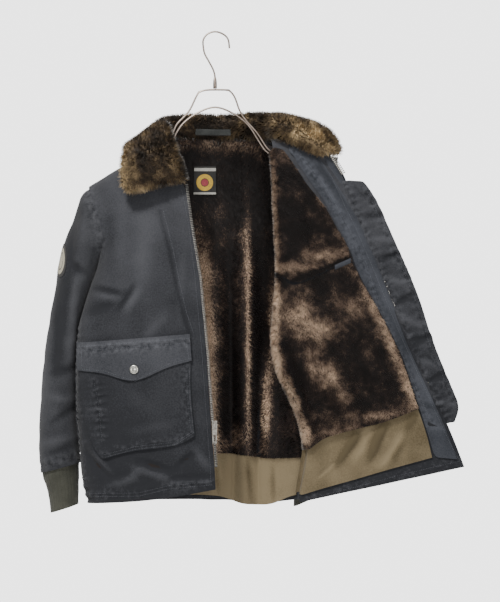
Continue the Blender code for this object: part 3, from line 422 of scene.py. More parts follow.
def puckers(points, line, reach, pitch, height):
    """Ripples across a seam, of a pitch that wanders a little."""
    off, run = seam_places(points, line)
    beat = np.sin(2 * math.pi * run / pitch + 1.4 * np.sin(run / 31) + 0.8 * np.sin(run / 11))
    strength = 0.7 + 0.3 * np.sin(run / 23)
    return height * beat * strength * np.exp(-(off / reach) ** 2)


def groove(points, line, half, depth):
    """The dip that stitching draws along a seam."""
    off, _ = seam_places(points, line)
    return -depth * np.exp(-(off / half) ** 2)


def rumple(points, size, height, turn=0.0):
    """Slight unevenness, in lumps of about the size given."""
    x, y, z = points.T / size
    first = np.sin(1.9 * x + 1.3 * z + turn) * np.sin(1.1 * z - 0.7 * x + 2.0 + turn + y)
    second = np.sin(3.1 * x - 2.3 * z + 1.0 + 2 * turn) * np.sin(2.7 * z + 1.7 * x + y)
    return height * (0.65 * first + 0.35 * second)


# %% [markdown]
# The right front carries the clearest creases: two short ones under the arm, a
# long facing seam, a puckered side seam, and a tumble of folds between the
# pocket and the hem. The pocket and flap on the opened front follow the same
# heights as the cloth below them, so that they stay on it.

# %% Right front
RIGHT_CREASES = [
    # x     z     x     z   half-width, height
    (-228, -484, -172, -497, 6, -2.6),
    (-222, -499, -178, -507, 7, 1.8),
    (-152, -484, -180, -527, 6, -2.6),
    (-140, -490, -164, -532, 8, 2.4),
    (-232, -530, -184, -514, 8, -1.6),
    (-125, -375, -143, -500, 20, 1.6),
    (-192, -318, -198, -450, 15, -1.4),
    (-92, -540, -130, -580, 10, 1.6),
    (-60, -430, -66, -560, 9, 1.2),
    (-139, -812, -80, -829, 7, -2.6),
    (-152, -823, -86, -843, 8, 2.8),
    (-84, -844, -6, -841, 5, -1.4),
    (-82, -850, -6, -848, 5, 1.8),
    (-164, -846, -132, -824, 7, 3.0),
    (-243, -792, -204, -834, 7, -3.4),
    (-226, -800, -190, -836, 6, 2.2),
    (-68, -820, -40, -796, 6, -3.2),
    (-200, -856, -150, -846, 8, 2.6),
    (-36, -790, -8, -826, 8, 2.0),
]
FACING_SEAM = [(-103, -342), (-85, -413), (-72, -477), (-59, -534), (-46, -572)]
SIDE_SEAM = [(-262, -560), (-262, -690), (-254, -790), (-246, -860), (-239, -891)]
ARMHOLE_SEAM = [(-240, -296), (-236, -320), (-226, -352), (-217, -400), (-222, -432)]
HEM_SEAM = [(-236, -874), (-142, -872), (-85, -858), (-4, -851)]


def right_height(points, normals):
    front = np.clip(-normals[:, 1] * 1.4, 0, 1)
    high = 1.6 * crease(points, RIGHT_CREASES) * front
    high = high + puckers(points, SIDE_SEAM, 17, 13.5, 2.4)
    high = high + puckers(points, ARMHOLE_SEAM, 8, 9.5, 1.1)
    high = high + puckers(points, HEM_SEAM, 9, 15, 0.8) + groove(points, HEM_SEAM, 1.6, 0.8)
    high = high + groove(points, FACING_SEAM, 3.6, 2.2)
    return high + rumple(points, 30, 0.9)


right_front = panel("right_front", "shell_front_right", SHELL_CLOTH, FRONT, 3, right_height, None,
                    [SIDE_SEAM, ARMHOLE_SEAM, HEM_SEAM])

# %% [markdown]
# The back is plain from outside: long vertical folds, puckers at its seams and
# hem, and the drag lines that hanging draws from the shoulders. Nothing in the
# photograph shows it, so its creases are like those of the front, and quieter.

# %% Back
BACK_CREASES = [
    (-170, -330, -120, -520, 14, -2.4),
    (-110, -300, -60, -430, 12, 2.0),
    (150, -320, 110, -500, 14, -2.4),
    (60, -560, 85, -700, 12, 2.2),
    (-200, -560, -150, -640, 9, -2.2),
    (190, -540, 140, -640, 9, -2.2),
    (-150, -830, -70, -812, 7, -2.6),
    (20, -820, 110, -838, 8, 2.6),
    (-210, -780, -180, -850, 8, 2.2),
]
BACK_HEM_SEAM = [(-239, -878), (-60, -880), (80, -880), (164, -876)]
LEFT_SIDE_SEAM = [(205, -470), (192, -580), (180, -712), (172, -832), (164, -888)]


def back_height(points, normals):
    rear = np.clip(normals[:, 1] * 1.4, 0, 1)
    high = crease(points, BACK_CREASES) * rear + puckers(points, SIDE_SEAM, 14, 12.5, 1.4)
    high = high + puckers(points, LEFT_SIDE_SEAM, 12, 13, 1.2)
    high = high + puckers(points, BACK_HEM_SEAM, 9, 15, 0.8) + groove(points, BACK_HEM_SEAM, 1.6, 0.8)
    return high + rumple(points, 34, 0.8, 1.0)


def on_neckline(middle, way):
    return middle.z > -216 and abs(middle.x) < 90


jacket_back = panel("jacket_back", "shell_back", SHELL_CLOTH, REAR, 2, back_height, None,
                    [SIDE_SEAM, LEFT_SIDE_SEAM, BACK_HEM_SEAM], allowance=[(on_neckline, (0, 2, 12))])

# %% [markdown]
# The left front lies open, so its pieces are stacked one behind the other:
# shell, facing, pile, olive band. All of them are pressed straight forwards by
# one set of heights, which keeps them in their order. The facing adds the short
# creases that its stitching has drawn up, and a fold down its upper end.

# %% Opened left front and its facing
OPEN_CREASES = [
    (268, -764, 232, -816, 8, 4.4),
    (292, -750, 262, -812, 8, -3.0),
    (321, -742, 288, -815, 8, 4.6),
    (370, -744, 312, -820, 9, -4.6),
    (376, -728, 336, -804, 8, 4.0),
    (224, -818, 198, -842, 3, -3.0),
    (140, -800, 128, -868, 8, 3.0),
    (300, -510, 318, -560, 8, -1.6),
    (352, -560, 372, -640, 8, 2.0),
    (330, -480, 350, -560, 7, -1.6),
    (388, -640, 408, -700, 7, -2.0),
    (176, -262, 222, -330, 7, 2.4),
    (190, -262, 240, -344, 6, -2.0),
    (420, -690, 440, -770, 7, 2.0),
]


def open_height(points, normals):
    opened = np.clip((points[:, 0] - 126) / 24, 0, 1)
    high = crease(points, OPEN_CREASES) + rumple(points, 26, 1.0, 2.0)
    return -high * opened


STRAIGHT = (0, 1, 0)
LEFT_HEM_SEAM = [(164, -884), (262, -862), (336, -842), (410, -824), (464, -812)]


def on_collar_seam(middle, way):
    return middle.z > -264 and 100 < middle.x < 226 and abs(way.z) < 0.8


COLLAR_TUCK = (on_collar_seam, (4, 3, 14))
left_front = panel("left_front", "shell_front_left", SHELL_CLOTH, REAR, 2, open_height, STRAIGHT,
                   [LEFT_HEM_SEAM], allowance=[COLLAR_TUCK])
FACING_STITCH = [(150, -224), (203, -292), (254, -382), (283, -442), (308, -520), (350, -612), (405, -742)]
FACING_FOLD = [(180, -232), (216, -286), (256, -350), (276, -392)]
FACING_CREASES = [
    (178, -228, 262, -352, 6, 3.4),
    (196, -232, 274, -350, 6, -3.2),
    (300, -450, 330, -530, 8, -2.4),
    (322, -520, 356, -600, 8, 2.4),
    (366, -610, 390, -680, 7, -2.4),
    (384, -700, 428, -716, 7, 2.6),
    (396, -740, 440, -752, 7, -2.6),
    (300, -420, 318, -430, 5, 1.8),
]


def facing_height(points, normals):
    high = crease(points, FACING_CREASES) + puckers(points, FACING_STITCH, 9, 11, 1.1)
    high = high + groove(points, FACING_STITCH, 2.0, 1.6) + groove(points, FACING_FOLD, 1.8, 1.0)
    return open_height(points, normals) - high


def on_zip_edge(middle, way):
    return middle.x - 238 > -0.44 * (middle.z + 276) - 10 and abs(way.z) > 0.6


facing = panel("left_facing", "facing_left", FACING_CLOTH, FRONT, 3, facing_height, STRAIGHT,
               [FACING_STITCH], 1.2, allowance=[COLLAR_TUCK, (on_zip_edge, (7, 5, 0))])

# %% [markdown]
# The strip behind the zip is loose cloth that has crumpled in the wash. It
# gets the same puckers along its seam and deep slanting creases across it.

# %% Wind flap
FLAP_SEAM = [(244, -284), (262, -330), (306, -438), (357, -562), (402, -662), (442, -738)]
FLAP_OUTER = [(276, -285), (290, -308), (323, -378), (355, -449),
              (385, -524), (404, -588), (430, -650), (451, -702)]
FLAP_CREASES = [
    (268, -300, 300, -322, 6, -2.2),
    (280, -352, 318, -346, 6, -2.6),
    (300, -392, 336, -398, 7, 2.4),
    (312, -430, 352, -420, 6, -3.0),
    (330, -470, 366, -478, 7, 2.6),
    (340, -514, 384, -494, 6, -3.2),
    (352, -540, 396, -560, 8, 3.0),
    (372, -590, 412, -572, 6, -3.0),
    (384, -622, 428, -634, 7, 2.8),
    (402, -662, 440, -646, 6, -3.0),
    (414, -700, 456, -706, 7, 2.4),
]


def flap_height(points, normals):
    high = 1.5 * crease(points, FLAP_CREASES) + puckers(points, FLAP_SEAM, 14, 13, 1.8)
    high = high + puckers(points, FLAP_OUTER, 10, 17, 1.3) + groove(points, FLAP_OUTER, 2.0, 1.0)
    return high + rumple(points, 18, 1.1, 3.0)


def on_flap_root(middle, way):
    return middle.x - 250 < -0.42 * (middle.z + 288) + 12 and abs(way.z) > 0.6


wind_flap = panel("front_flap", "wind_flap", SHELL_CLOTH, FRONT, 3, flap_height, None,
                  [FLAP_SEAM, FLAP_OUTER], allowance=[(on_flap_root, (-8, 10, 0))])

# %% [markdown]
# A sleeve hangs with a few long folds down its length and short ones across
# the elbow. Its creases are pressed along the cloth's own normals, so that
# they show from the front, the side and the back.

# %% Sleeves
RIGHT_SLEEVE_CREASES = [
    (-262, -330, -286, -470, 13, -3.2),
    (-285, -470, -302, -640, 15, -3.0),
    (-262, -470, -272, -620, 9, 2.4),
    (-316, -520, -326, -700, 12, 2.2),
    (-310, -646, -270, -640, 8, -2.2),
    (-318, -690, -272, -700, 9, 2.2),
    (-312, -740, -268, -716, 7, -2.4),
    (-320, -780, -270, -770, 8, 2.0),
    (-318, -800, -276, -790, 6, -2.0),
    (-276, -434, -244, -462, 8, -2.4),
]
LEFT_SLEEVE_CREASES = [
    (250, -330, 256, -470, 12, -3.0),
    (244, -470, 226, -640, 13, 2.6),
    (236, -640, 190, -650, 8, -2.2),
    (230, -700, 180, -690, 8, 2.2),
    (222, -760, 172, -770, 7, -2.2),
    (214, -800, 166, -792, 6, 1.8),
]
RIGHT_HEM_RING = [(-334, -824), (-258, -803)]
LEFT_HEM_RING = [(218, -820), (150, -798)]
PATCH_PLACE = np.array([-289, -4, -433])
PATCH_ROOM = 20
UNDER_ARM_LEVEL = -480
UNDER_ARM_FULLNESS = 9


def sleeve_height(creases, ring, turn):
    """The heights of one sleeve, which stay at 0 where the patch lies."""
    def height(points, normals):
        high = 1.5 * crease(points, creases) + rumple(points, 28, 1.3, turn)
        under_arm = np.exp(-((points[:, 2] - UNDER_ARM_LEVEL) / 46) ** 2) * (points[:, 0] < 0)
        high = high + UNDER_ARM_FULLNESS * under_arm * np.clip(normals[:, 0], 0, 1)
        high = high + groove(points, ring, 1.8, 1.2) + puckers(points, ring, 10, 14, 1.0)
        away = np.linalg.norm((points - PATCH_PLACE) / (1, 1, 1.3), axis=1) / PATCH_ROOM
        return high * np.clip(away - 1, 0, 1)
    return height


def on_armhole(middle, way):
    return middle.z > -470


panel("right_sleeve", "sleeve_right", SLEEVE_CLOTH, None, 3,
      sleeve_height(RIGHT_SLEEVE_CREASES, RIGHT_HEM_RING, 4.0), None,
      [RIGHT_HEM_RING, ARMHOLE_SEAM], allowance=[(on_armhole, (9, 0, -1))])
panel("left_sleeve", "sleeve_left", SLEEVE_CLOTH, None, 3,
      sleeve_height(LEFT_SLEEVE_CREASES, LEFT_HEM_RING, 5.0), None,
      [LEFT_HEM_RING], allowance=[(on_armhole, (-9, 0, -1))])

# %% [markdown]
# The cuffs are a thick rib knit. The CAD model has their ribs, so one smoothing
# pass rounds them, and fine loops of yarn are left to the bump.

# %% Cuffs
rib = Finish("rib_knit", Roughness=0.92, Specular_IOR_Level=0.2, Sheen_Weight=0.15)
# The knit's height mark lightens its proud loops and puts painted shade in its dips.
rib_tone = rib.noise(28.0, 4.0) * 0.6 + rib.noise(700.0, 2.0) * 0.5 + rib.attribute("wear_and_crease_shade") * 0.2
rib.feed("Base Color", rib.ramp(rib_tone, [(0.3, (0.030, 0.031, 0.024)), (0.8, (0.098, 0.098, 0.078))]))
yarn = {"Vector": rib.place(), "Scale": 160.0, "Distortion": 3.0, "Detail": 2.0, "Detail Scale": 3.0}
loops = rib.node("ShaderNodeTexWave", {"bands_direction": "Z"}, yarn)
rib.bump(loops * 0.6 + rib.noise(500.0, 2.0), 0.6, 0.0007)


def cuff_height(points, normals):
    return rumple(points, 12, 0.8, 1.0)


for name, node in (("right_cuff", "cuff_right"), ("left_cuff", "cuff_left")):
    panel(name, node, rib.material, None, 2, cuff_height, thickness=1.8)

# %% [markdown]
# The olive cloth below the pile is light and loose, and hangs in flutes. In the
# middle of the back it has dropped, and shows below the shell's hem.

# %% Olive bands
BACK_BAND_CREASES = [
    (30, -815, 26, -885, 7, 2.6),
    (62, -812, 70, -886, 7, -2.4),
    (92, -815, 90, -884, 7, 2.6),
    (110, -830, 112, -885, 5, -2.0),
    (0, -820, 6, -880, 6, -2.0),
    (-60, -820, -64, -880, 9, 2.4),
    (-130, -818, -124, -880, 9, -2.4),
    (-190, -818, -196, -880, 9, 2.2),
]


def back_band_height(points, normals):
    front = np.clip(-normals[:, 1], 0, 1)
    return front * (2.4 + 1.5 * crease(points, BACK_BAND_CREASES)) + rumple(points, 20, 0.6, 2.0)


back_band = one_side("back_band", "band_back", OLIVE_CLOTH, FRONT, 3)
press(back_band, back_band_height)
DROP_MIDDLE = 75
DROP_START = -838
BAND_DROP = 12
BAND_FORWARD = 5
band_points, _ = points_of(back_band)
low = np.clip((DROP_START - band_points[:, 2]) / 50, 0, 1)
from_middle = band_points[:, 0] - DROP_MIDDLE
band_points[:, 2] -= BAND_DROP * low * np.exp(-(from_middle / 58) ** 4)
band_points[:, 1] -= BAND_FORWARD * low * np.exp(-(from_middle / 80) ** 4)
move_to(back_band, band_points)
thicken(back_band, 1.0, "band_back")


def on_fold(middle, way):
    return middle.x < 182 and abs(way.z) > 0.6


panel("left_band", "band_left", OLIVE_CLOTH, FRONT, 3, open_height, STRAIGHT,
      thickness=1.0, allowance=[(on_fold, (-9, -2, 0))])

# %% [markdown]
# Fur is thousands of fine hairs. Each hair here is one slim triangle that
# grows from the pile's face, leans down with the nap and gathers into tufts.
# It carries two numbers: how near a point is to its tip, and how light the
# hair is, which holds its random tone and painted light. The lighter places are
# painted highlights where the nap catches the light, and the darker ones
# painted shade.

# %% Fur finish and hairs


def fur_finish(name, root, dark, middle, tip):
    """Colour by how light the hair is, and a little by how near the tip."""
    finish = Finish(name, Roughness=0.62, Specular_IOR_Level=0.35, Sheen_Weight=0.25, Sheen_Roughness=0.35)
    along = finish.attribute("tip")
    # The hair's lightness holds its random tone with painted highlights and shade.
    tone_and_painted_light = finish.attribute("tone_and_painted_light")
    share = along * 0.18 + tone_and_painted_light * 0.82
    finish.feed("Base Color", finish.ramp(share, [(0.05, root), (0.32, dark), (0.55, middle), (0.90, tip)]))
    return finish.material


LINING_FUR = fur_finish("lining_fur", (0.006, 0.0035, 0.003), (0.032, 0.019, 0.015),
                        (0.27, 0.18, 0.125), (0.92, 0.68, 0.48))
COLLAR_FUR = fur_finish("collar_fur", (0.012, 0.008, 0.004), (0.062, 0.038, 0.019),
                        (0.30, 0.21, 0.11), (0.85, 0.64, 0.36))
NAP_DOWN = (0, 0, -0.45)
STRAY = 0.24
LEAST_RISE = 0.3
ROOT_DEPTH = 0.8
TONE_SPREAD = 0.09
BACKING_SHADE = 0.6


def painted_light_patches(points, rows):
    """Painted highlights and shade on the nap: x, z of a patch, its two radii, slant and amount, less than
    0 for shade.
    """
    total = np.zeros(len(points))
    for x, z, across, down, slant, amount in rows:
        dz = points[:, 2] - z
        dx = points[:, 0] - x - slant * dz
        total += amount * np.exp(-(dx / across) ** 2 - (dz / down) ** 2)
    return total


def tufts(points, size):
    """Slow swirl of directions, the same for hairs that stand close together."""
    x, y, z = points.T / size
    swirl = [np.sin(2.1 * x + 3.3 * z + 1.7 * np.sin(1.3 * z + y)),
             np.sin(2.7 * y + 1.9 * z + 1.1 * np.sin(2.3 * x)),
             np.sin(3.1 * z + 2.3 * x + 1.3 * np.sin(1.9 * y + 0.7 * x))]
    return np.stack(swirl, axis=1)


def cloud(points, size):
    """Soft uneven noise, from about -0.6 to 0.6, with lumps of the size given."""
    return np.array([noise.noise(place) for place in (points / size).tolist()])


def scatter(base, count, chance):
    """Places spread evenly by area over a piece, and the way its face looks at each."""
    mesh = base.data
    mesh.calc_loop_triangles()
    corners = np.zeros(len(mesh.loop_triangles) * 3, int)
    mesh.loop_triangles.foreach_get("vertices", corners)
    corners = corners.reshape(-1, 3)
    points, normals = points_of(base)
    a, b, c = points[corners[:, 0]], points[corners[:, 1]], points[corners[:, 2]]
    size = np.linalg.norm(np.cross(b - a, c - a), axis=1)
    pick = chance.choice(len(corners), size=count, p=size / size.sum())
    u, v = chance.random((2, count))
    over = u + v > 1
    u[over], v[over] = 1 - u[over], 1 - v[over]
    w = 1 - u - v
    shares = np.stack([w, u, v], axis=1)[:, :, None]
    root = (points[corners[pick]] * shares).sum(axis=1)
    normal = (normals[corners[pick]] * shares).sum(axis=1)
    return root, unit(normal)


def unit(rows):
    return rows / np.linalg.norm(rows, axis=1, keepdims=True)


def grow(name, base, material, hairs, length, width, tone_and_painted_light, seed, nap=NAP_DOWN, lift=1.0):
    """A mesh of hairs over a piece's faces. Each triangle's front looks away from the piece."""
    chance = np.random.default_rng(seed)
    root, normal = scatter(base, hairs, chance)
    way = normal * lift + np.array(nap) + 0.15 * tufts(root, 7) + 0.16 * tufts(root, 31)
    way = way + STRAY * chance.normal(size=(hairs, 3))
    under = np.minimum((way * normal).sum(axis=1) - LEAST_RISE, 0)
    way = unit(way - normal * under[:, None])
    long = length * (0.7 + 0.5 * chance.random(hairs))[:, None]
    aside = unit(np.cross(way, chance.normal(size=(hairs, 3)))) * width / 2
    outward = np.sign((np.cross(aside, way) * normal).sum(axis=1, keepdims=True))
    aside = aside * outward
    start = root - normal * ROOT_DEPTH
    blades = np.stack([start - aside, start + aside, root + way * long], axis=1).reshape(-1, 3)
    data = bpy.data.meshes.new(name)
    data.vertices.add(3 * hairs)
    data.vertices.foreach_set("co", (blades * MM).ravel())
    data.loops.add(3 * hairs)
    data.loops.foreach_set("vertex_index", np.arange(3 * hairs))
    data.polygons.add(hairs)
    data.polygons.foreach_set("loop_start", np.arange(0, 3 * hairs, 3))
    data.update(calc_edges=True)
    thing = linked(name, data, material)
    mark(thing, "tip", np.tile([0.0, 0.0, 1.0], hairs))
    light = tone_and_painted_light(root, normal) + TONE_SPREAD * chance.normal(size=hairs)
    mark(thing, "tone_and_painted_light", np.repeat(np.clip(light, 0, 1), 3))
    soft = unit(0.8 * normal + 0.35 * way)
    data.polygons.foreach_set("use_smooth", np.ones(hairs, bool))
    data.normals_split_custom_set_from_vertices(np.repeat(soft, 3, axis=0).tolist())
    return thing


def set_back(base, depth, tone_and_painted_light):
    """Moves a backing under its fur, and gives it the fur's tone in shade."""
    points, normals = points_of(base)
    move_to(base, points - normals * depth)
    mark(base, "tone_and_painted_light", np.clip(tone_and_painted_light(points, normals) * BACKING_SHADE, 0, 1))
    base.data.attributes.new("tip", "FLOAT", "POINT")


PILE_LENGTH = 7.0
PILE_BACKING = 3.0


def pile(name, node, toward, hairs, width, tone_and_painted_light, height, direction, seed, allowance=None):
    """A sheet of backing with its fur: the sheet is set back by most of the fur's depth."""
    base = one_side(name + "_backing", node, LINING_FUR, toward, 2, allowance)
    press(base, height, direction)
    set_back(base, PILE_LENGTH * 0.55, tone_and_painted_light)
    fur = grow(name + "_fur", base, LINING_FUR, hairs, PILE_LENGTH, width, tone_and_painted_light, seed)
    settle(fur)
    thicken(base, PILE_BACKING, node)
    print(name, hairs, "hairs")


# %% [markdown]
# The back's lining hangs in tall flutes. Where it bulges forwards its nap
# catches the light, painted as highlights that make it tan, and painted shade
# makes the hollows nearly black.

# %% Pile of the back and the right front
BACK_PAINTED_LIGHT = [
    # x     z  across down slant amount
    (-12, -600, 15, 200, -0.02, 0.70),
    (-30, -450, 12, 90, -0.10, 0.34),
    (-4, -770, 12, 60, 0.00, 0.46),
    (63, -600, 6, 190, 0.00, 0.60),
    (58, -420, 10, 90, 0.00, 0.26),
    (98, -720, 9, 80, 0.00, 0.55),
    (110, -560, 8, 120, 0.00, 0.34),
    (0, -208, 110, 17, 0.00, 0.30),
    (12, -330, 14, 60, 0.00, 0.14),
    (40, -775, 30, 24, 0.00, 0.16),
    (82, -600, 12, 200, 0.00, -0.10),
    (30, -640, 14, 160, 0.00, -0.06),
    (36, -300, 80, 70, 0.00, -0.12),
]


def back_tone_and_light(points, normals):
    mottle = 0.30 * cloud(points * (1, 1, 0.6), 24) + 0.16 * cloud(points, 8)
    # Painted highlights on the forward flutes and painted shade in the hollows, over a random mottle.
    return 0.13 + mottle + 1.7 * painted_light_patches(points, BACK_PAINTED_LIGHT)


def still(points, normals):
    return rumple(points, 24, 0.8, 3.0)


pile("back_pile", "lining_back", FRONT, 122000, 1.35, back_tone_and_light, still, None, 11,
     [(on_neckline, (0, -2, 14))])
pile("right_pile", "lining_front_right", REAR, 18000, 2.8, back_tone_and_light, still, None, 12)

# %% [markdown]
# The opened front shows its pile in full light: painted highlights give a tan
# roll along its folded edge and clouds of lighter nap, and painted shade darkens
# the hollows between. A slit for the inner pocket crosses it, with painted shade
# along it, and the pile above and below are two sheets.

# %% Pile of the opened left front
LEFT_PAINTED_LIGHT = [
    (116, -420, 7, 210, -0.02, 0.42),
    (112, -600, 9, 120, -0.12, 0.50),
    (150, -446, 36, 13, 0.60, 0.42),
    (205, -420, 44, 12, 1.20, 0.42),
    (170, -270, 9, 70, -0.75, 0.26),
    (210, -340, 8, 60, -0.50, 0.16),
    (160, -540, 40, 44, -0.20, 0.38),
    (205, -560, 30, 30, 0.00, 0.26),
    (190, -640, 18, 40, -0.20, 0.26),
    (226, -655, 20, 44, -0.50, 0.34),
    (262, -520, 26, 30, 0.00, 0.26),
    (318, -560, 15, 110, -0.46, 0.42),
    (372, -690, 12, 40, -0.36, 0.44),
    (318, -722, 60, 14, 0.90, 0.30),
    (240, -758, 30, 14, 0.40, 0.30),
    (150, -700, 10, 70, -0.34, 0.50),
    (172, -765, 12, 26, 0.00, 0.36),
    (150, -640, 12, 60, -0.30, -0.18),
    (262, -640, 26, 40, 0.00, -0.12),
    (152, -360, 28, 70, -0.30, -0.10),
    (196, -350, 30, 50, -0.30, -0.04),
]
LINING_SLIT = [(110, -452), (119, -458), (133, -477), (251, -428)]


def left_tone_and_light(points, normals):
    mottle = 0.30 * cloud(points, 26) + 0.22 * cloud(points, 10)
    off, _ = seam_places(points, LINING_SLIT)
    # Painted highlights and shade over a random mottle, and painted shade along the pocket slit.
    return 0.14 + mottle + 1.5 * painted_light_patches(points, LEFT_PAINTED_LIGHT) - 0.9 * np.exp(-(off / 3.2) ** 2)


PILE_CREASES = [
    (118, -596, 172, -772, 7, 4.0),
    (134, -596, 188, -772, 8, -4.5),
    (230, -640, 262, -720, 22, 3.0),
    (200, -520, 210, -600, 20, 2.4),
]


def left_pile_height(points, normals):
    shown = np.clip((points[:, 0] - 112) / 16, 0, 1)
    return open_height(points, normals) - shown * crease(points, PILE_CREASES)


pile("left_upper_pile", "lining_left_upper", FRONT, 58000, 1.35, left_tone_and_light, left_pile_height, STRAIGHT, 13)
pile("left_lower_pile", "lining_left_lower", FRONT, 112000, 1.35, left_tone_and_light, left_pile_height, STRAIGHT, 14)

# %% [markdown]
# The collar is one folded roll of longer fur. Painted shade darkens the middle of
# the right leaf and the inside of its back, and painted highlights make every
# edge golden, where the hairs stand against the light.

# %% Collar
COLLAR_PAINTED_LIGHT = [
    (-172, -250, 14, 70, 0.00, 0.40),
    (-130, -306, 60, 13, 0.00, 0.42),
    (-66, -296, 14, 18, 0.00, 0.30),
    (-150, -186, 22, 20, 0.00, 0.22),
    (-70, -215, 8, 50, 0.25, 0.24),
    (-122, -232, 30, 44, 0.00, -0.16),
    (150, -190, 40, 16, -0.90, 0.34),
    (190, -200, 26, 26, -0.60, 0.40),
    (225, -226, 22, 22, 0.00, 0.36),
    (214, -206, 4, 24, -0.75, -0.42),
    (60, -160, 60, 10, 0.00, 0.14),
    (100, -186, 40, 12, 0.00, -0.18),
]


def collar_tone_and_light(points, normals):
    mottle = 0.34 * cloud(points, 20) + 0.20 * cloud(points, 8)
    # Painted shade on the inside of the collar at the back, which faces forwards.
    inner = np.clip(-normals[:, 1], 0, 1) * (points[:, 1] > 0) * 0.16
    return 0.30 + mottle - inner + 1.15 * painted_light_patches(points, COLLAR_PAINTED_LIGHT)


work = merged("collar")
bmesh.ops.join_triangles(work, faces=work.faces[:], angle_face_threshold=math.radians(60),
                         angle_shape_threshold=math.pi)
collar = new_object("collar_backing", work, COLLAR_FUR)
subdivide(collar, 2)
alone(collar)
bpy.ops.object.shade_smooth()
set_back(collar, 2.5, collar_tone_and_light)
collar_fur = grow("collar_fur", collar, COLLAR_FUR, 140000, 10.0, 1.36, collar_tone_and_light, 15,
                  nap=(0, -0.1, -0.4), lift=1.1)
settle(collar, "collar")
settle(collar_fur)
print("collar", len(collar_fur.data.polygons), "hairs")

# %% [markdown]
# Each pocket is a bag of canvas with a pointed flap. The flap has a raised,
# twice stitched top edge, and a snap holds its point.

# %% Pockets
POCKET_CREASES = [
    (-238, -664, -206, -668, 4, -1.6),
    (-238, -690, -200, -690, 4, -1.6),
    (-236, -714, -198, -716, 4, 1.6),
    (-232, -738, -196, -742, 4, -1.6),
    (-228, -762, -196, -764, 4, 1.6),
    (-170, -760, -70, -738, 10, 1.6),
    (-150, -690, -110, -720, 16, 1.4),
    (-190, -640, -150, -668, 8, -1.2),
]
GUSSET_SEAM = [(-226, -664), (-218, -700), (-214, -740), (-211, -776)]
FLAP_TOP = [(-255, -596), (-150, -588), (-47, -580)]
FLAP_TOP_LOWER = [(-255, -604), (-150, -596), (-47, -588)]
BAG_EDGE = [(-52, -640), (-51, -690), (-44, -756), (-74, -774), (-150, -783), (-206, -798)]
FLAP_PLEAT = [(-166, -598), (-166, -630)]


def bag_height(points, normals):
    high = crease(points, POCKET_CREASES) + groove(points, GUSSET_SEAM, 2.0, 1.4)
    high = high + puckers(points, GUSSET_SEAM, 16, 12, 1.2) + groove(points, BAG_EDGE, 1.6, 1.0)
    return high + 0.6 * rumple(points, 30, 0.9)


def flap_top_height(points, normals):
    high = groove(points, FLAP_TOP_LOWER, 2.0, 1.6) - groove(points, FLAP_TOP, 2.6, 1.6)
    high = high + puckers(points, FLAP_TOP_LOWER, 7, 14, 0.5) + groove(points, FLAP_PLEAT, 1.6, 0.9)
    return high + 0.6 * rumple(points, 30, 0.9)


POCKET_SEAMS = [GUSSET_SEAM, FLAP_TOP_LOWER, BAG_EDGE]
right_bag = panel("right_bag", "pocket_right", SHELL_CLOTH, FRONT, 4, bag_height, None, POCKET_SEAMS, 2.2)
right_flap = panel("right_pocket_flap", "pocket_flap_right", LIT_FLAP_CLOTH, FRONT, 3, flap_top_height,
                   None, POCKET_SEAMS, 2.2)
panel("left_bag", "pocket_left", SHELL_CLOTH, REAR, 3, open_height, STRAIGHT, POCKET_SEAMS, 2.2)
left_flap = panel("left_pocket_flap", "pocket_flap_left", SHELL_CLOTH, REAR, 3, open_height, STRAIGHT,
                  POCKET_SEAMS, 2.2)

# %% [markdown]
# The metal is plain: a silver snap, a chrome hanger whose warm colour is a
# painted reflection, and a zip whose teeth have worn pale.

# %% Metal finishes, hanger and snap


def metal(name, colour, dark, rough, speck, grain=0.12):
    """Worn metal, darker and smoother in specks of the scale given."""
    finish = Finish(name, Metallic=1.0)
    worn = finish.noise(speck, 4.0)
    finish.feed("Base Color", finish.ramp(worn, [(0.30, dark), (0.62, colour)]))
    finish.feed("Roughness", worn * 0.25 + (rough - 0.12))
    finish.bump(finish.noise(speck * 3, 2.0), grain, 0.0001)
    return finish.material


# The hanger's warm colour is a painted reflection.
CHROME_WITH_PAINTED_REFLECTION = metal("chrome_wire", (0.52, 0.44, 0.38), (0.40, 0.32, 0.27), 0.42, 12.0, 0.0)
SNAP_METAL = metal("snap_metal", (0.80, 0.79, 0.72), (0.52, 0.51, 0.46), 0.30, 220.0)
ZIP_METAL = metal("zip_metal", (0.36, 0.345, 0.31), (0.14, 0.13, 0.12), 0.38, 300.0)


SHARP_ANGLE = math.radians(40)


def smoothed(name, node, material, levels=2):
    """A smooth copy of a hard CAD piece."""
    work = merged(node)
    bmesh.ops.join_triangles(work, faces=work.faces[:], angle_face_threshold=SIDE_ANGLE,
                             angle_shape_threshold=math.pi)
    sharp = work.edges.layers.float.new("crease_edge")
    for edge in work.edges:
        if len(edge.link_faces) == 2 and edge.calc_face_angle(0) > SHARP_ANGLE:
            edge[sharp] = 0.6
    thing = new_object(name, work, material)
    subdivide(thing, levels)
    alone(thing)
    bpy.ops.object.shade_smooth()
    settle(thing, node)
    return thing


smoothed("hook_wire", "hanger_hook", CHROME_WITH_PAINTED_REFLECTION, 1)
smoothed("hanger_wire", "hanger_frame", CHROME_WITH_PAINTED_REFLECTION, 1)
snap = smoothed("right_snap", "snap_right", SNAP_METAL)
for node in ("zip_slider", "zip_pull"):
    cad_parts[node].data.materials.clear()
    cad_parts[node].data.materials.append(ZIP_METAL)
print("snap", len(snap.data.polygons), "faces")

# %% [markdown]
# A zip tooth is a small stamped block with a rounded head. One is modelled and
# copied along each front's edge, every 3.3 mm, on a strip of woven tape. One
# mesh holds a whole row, because a few hundred objects would be slow to handle.

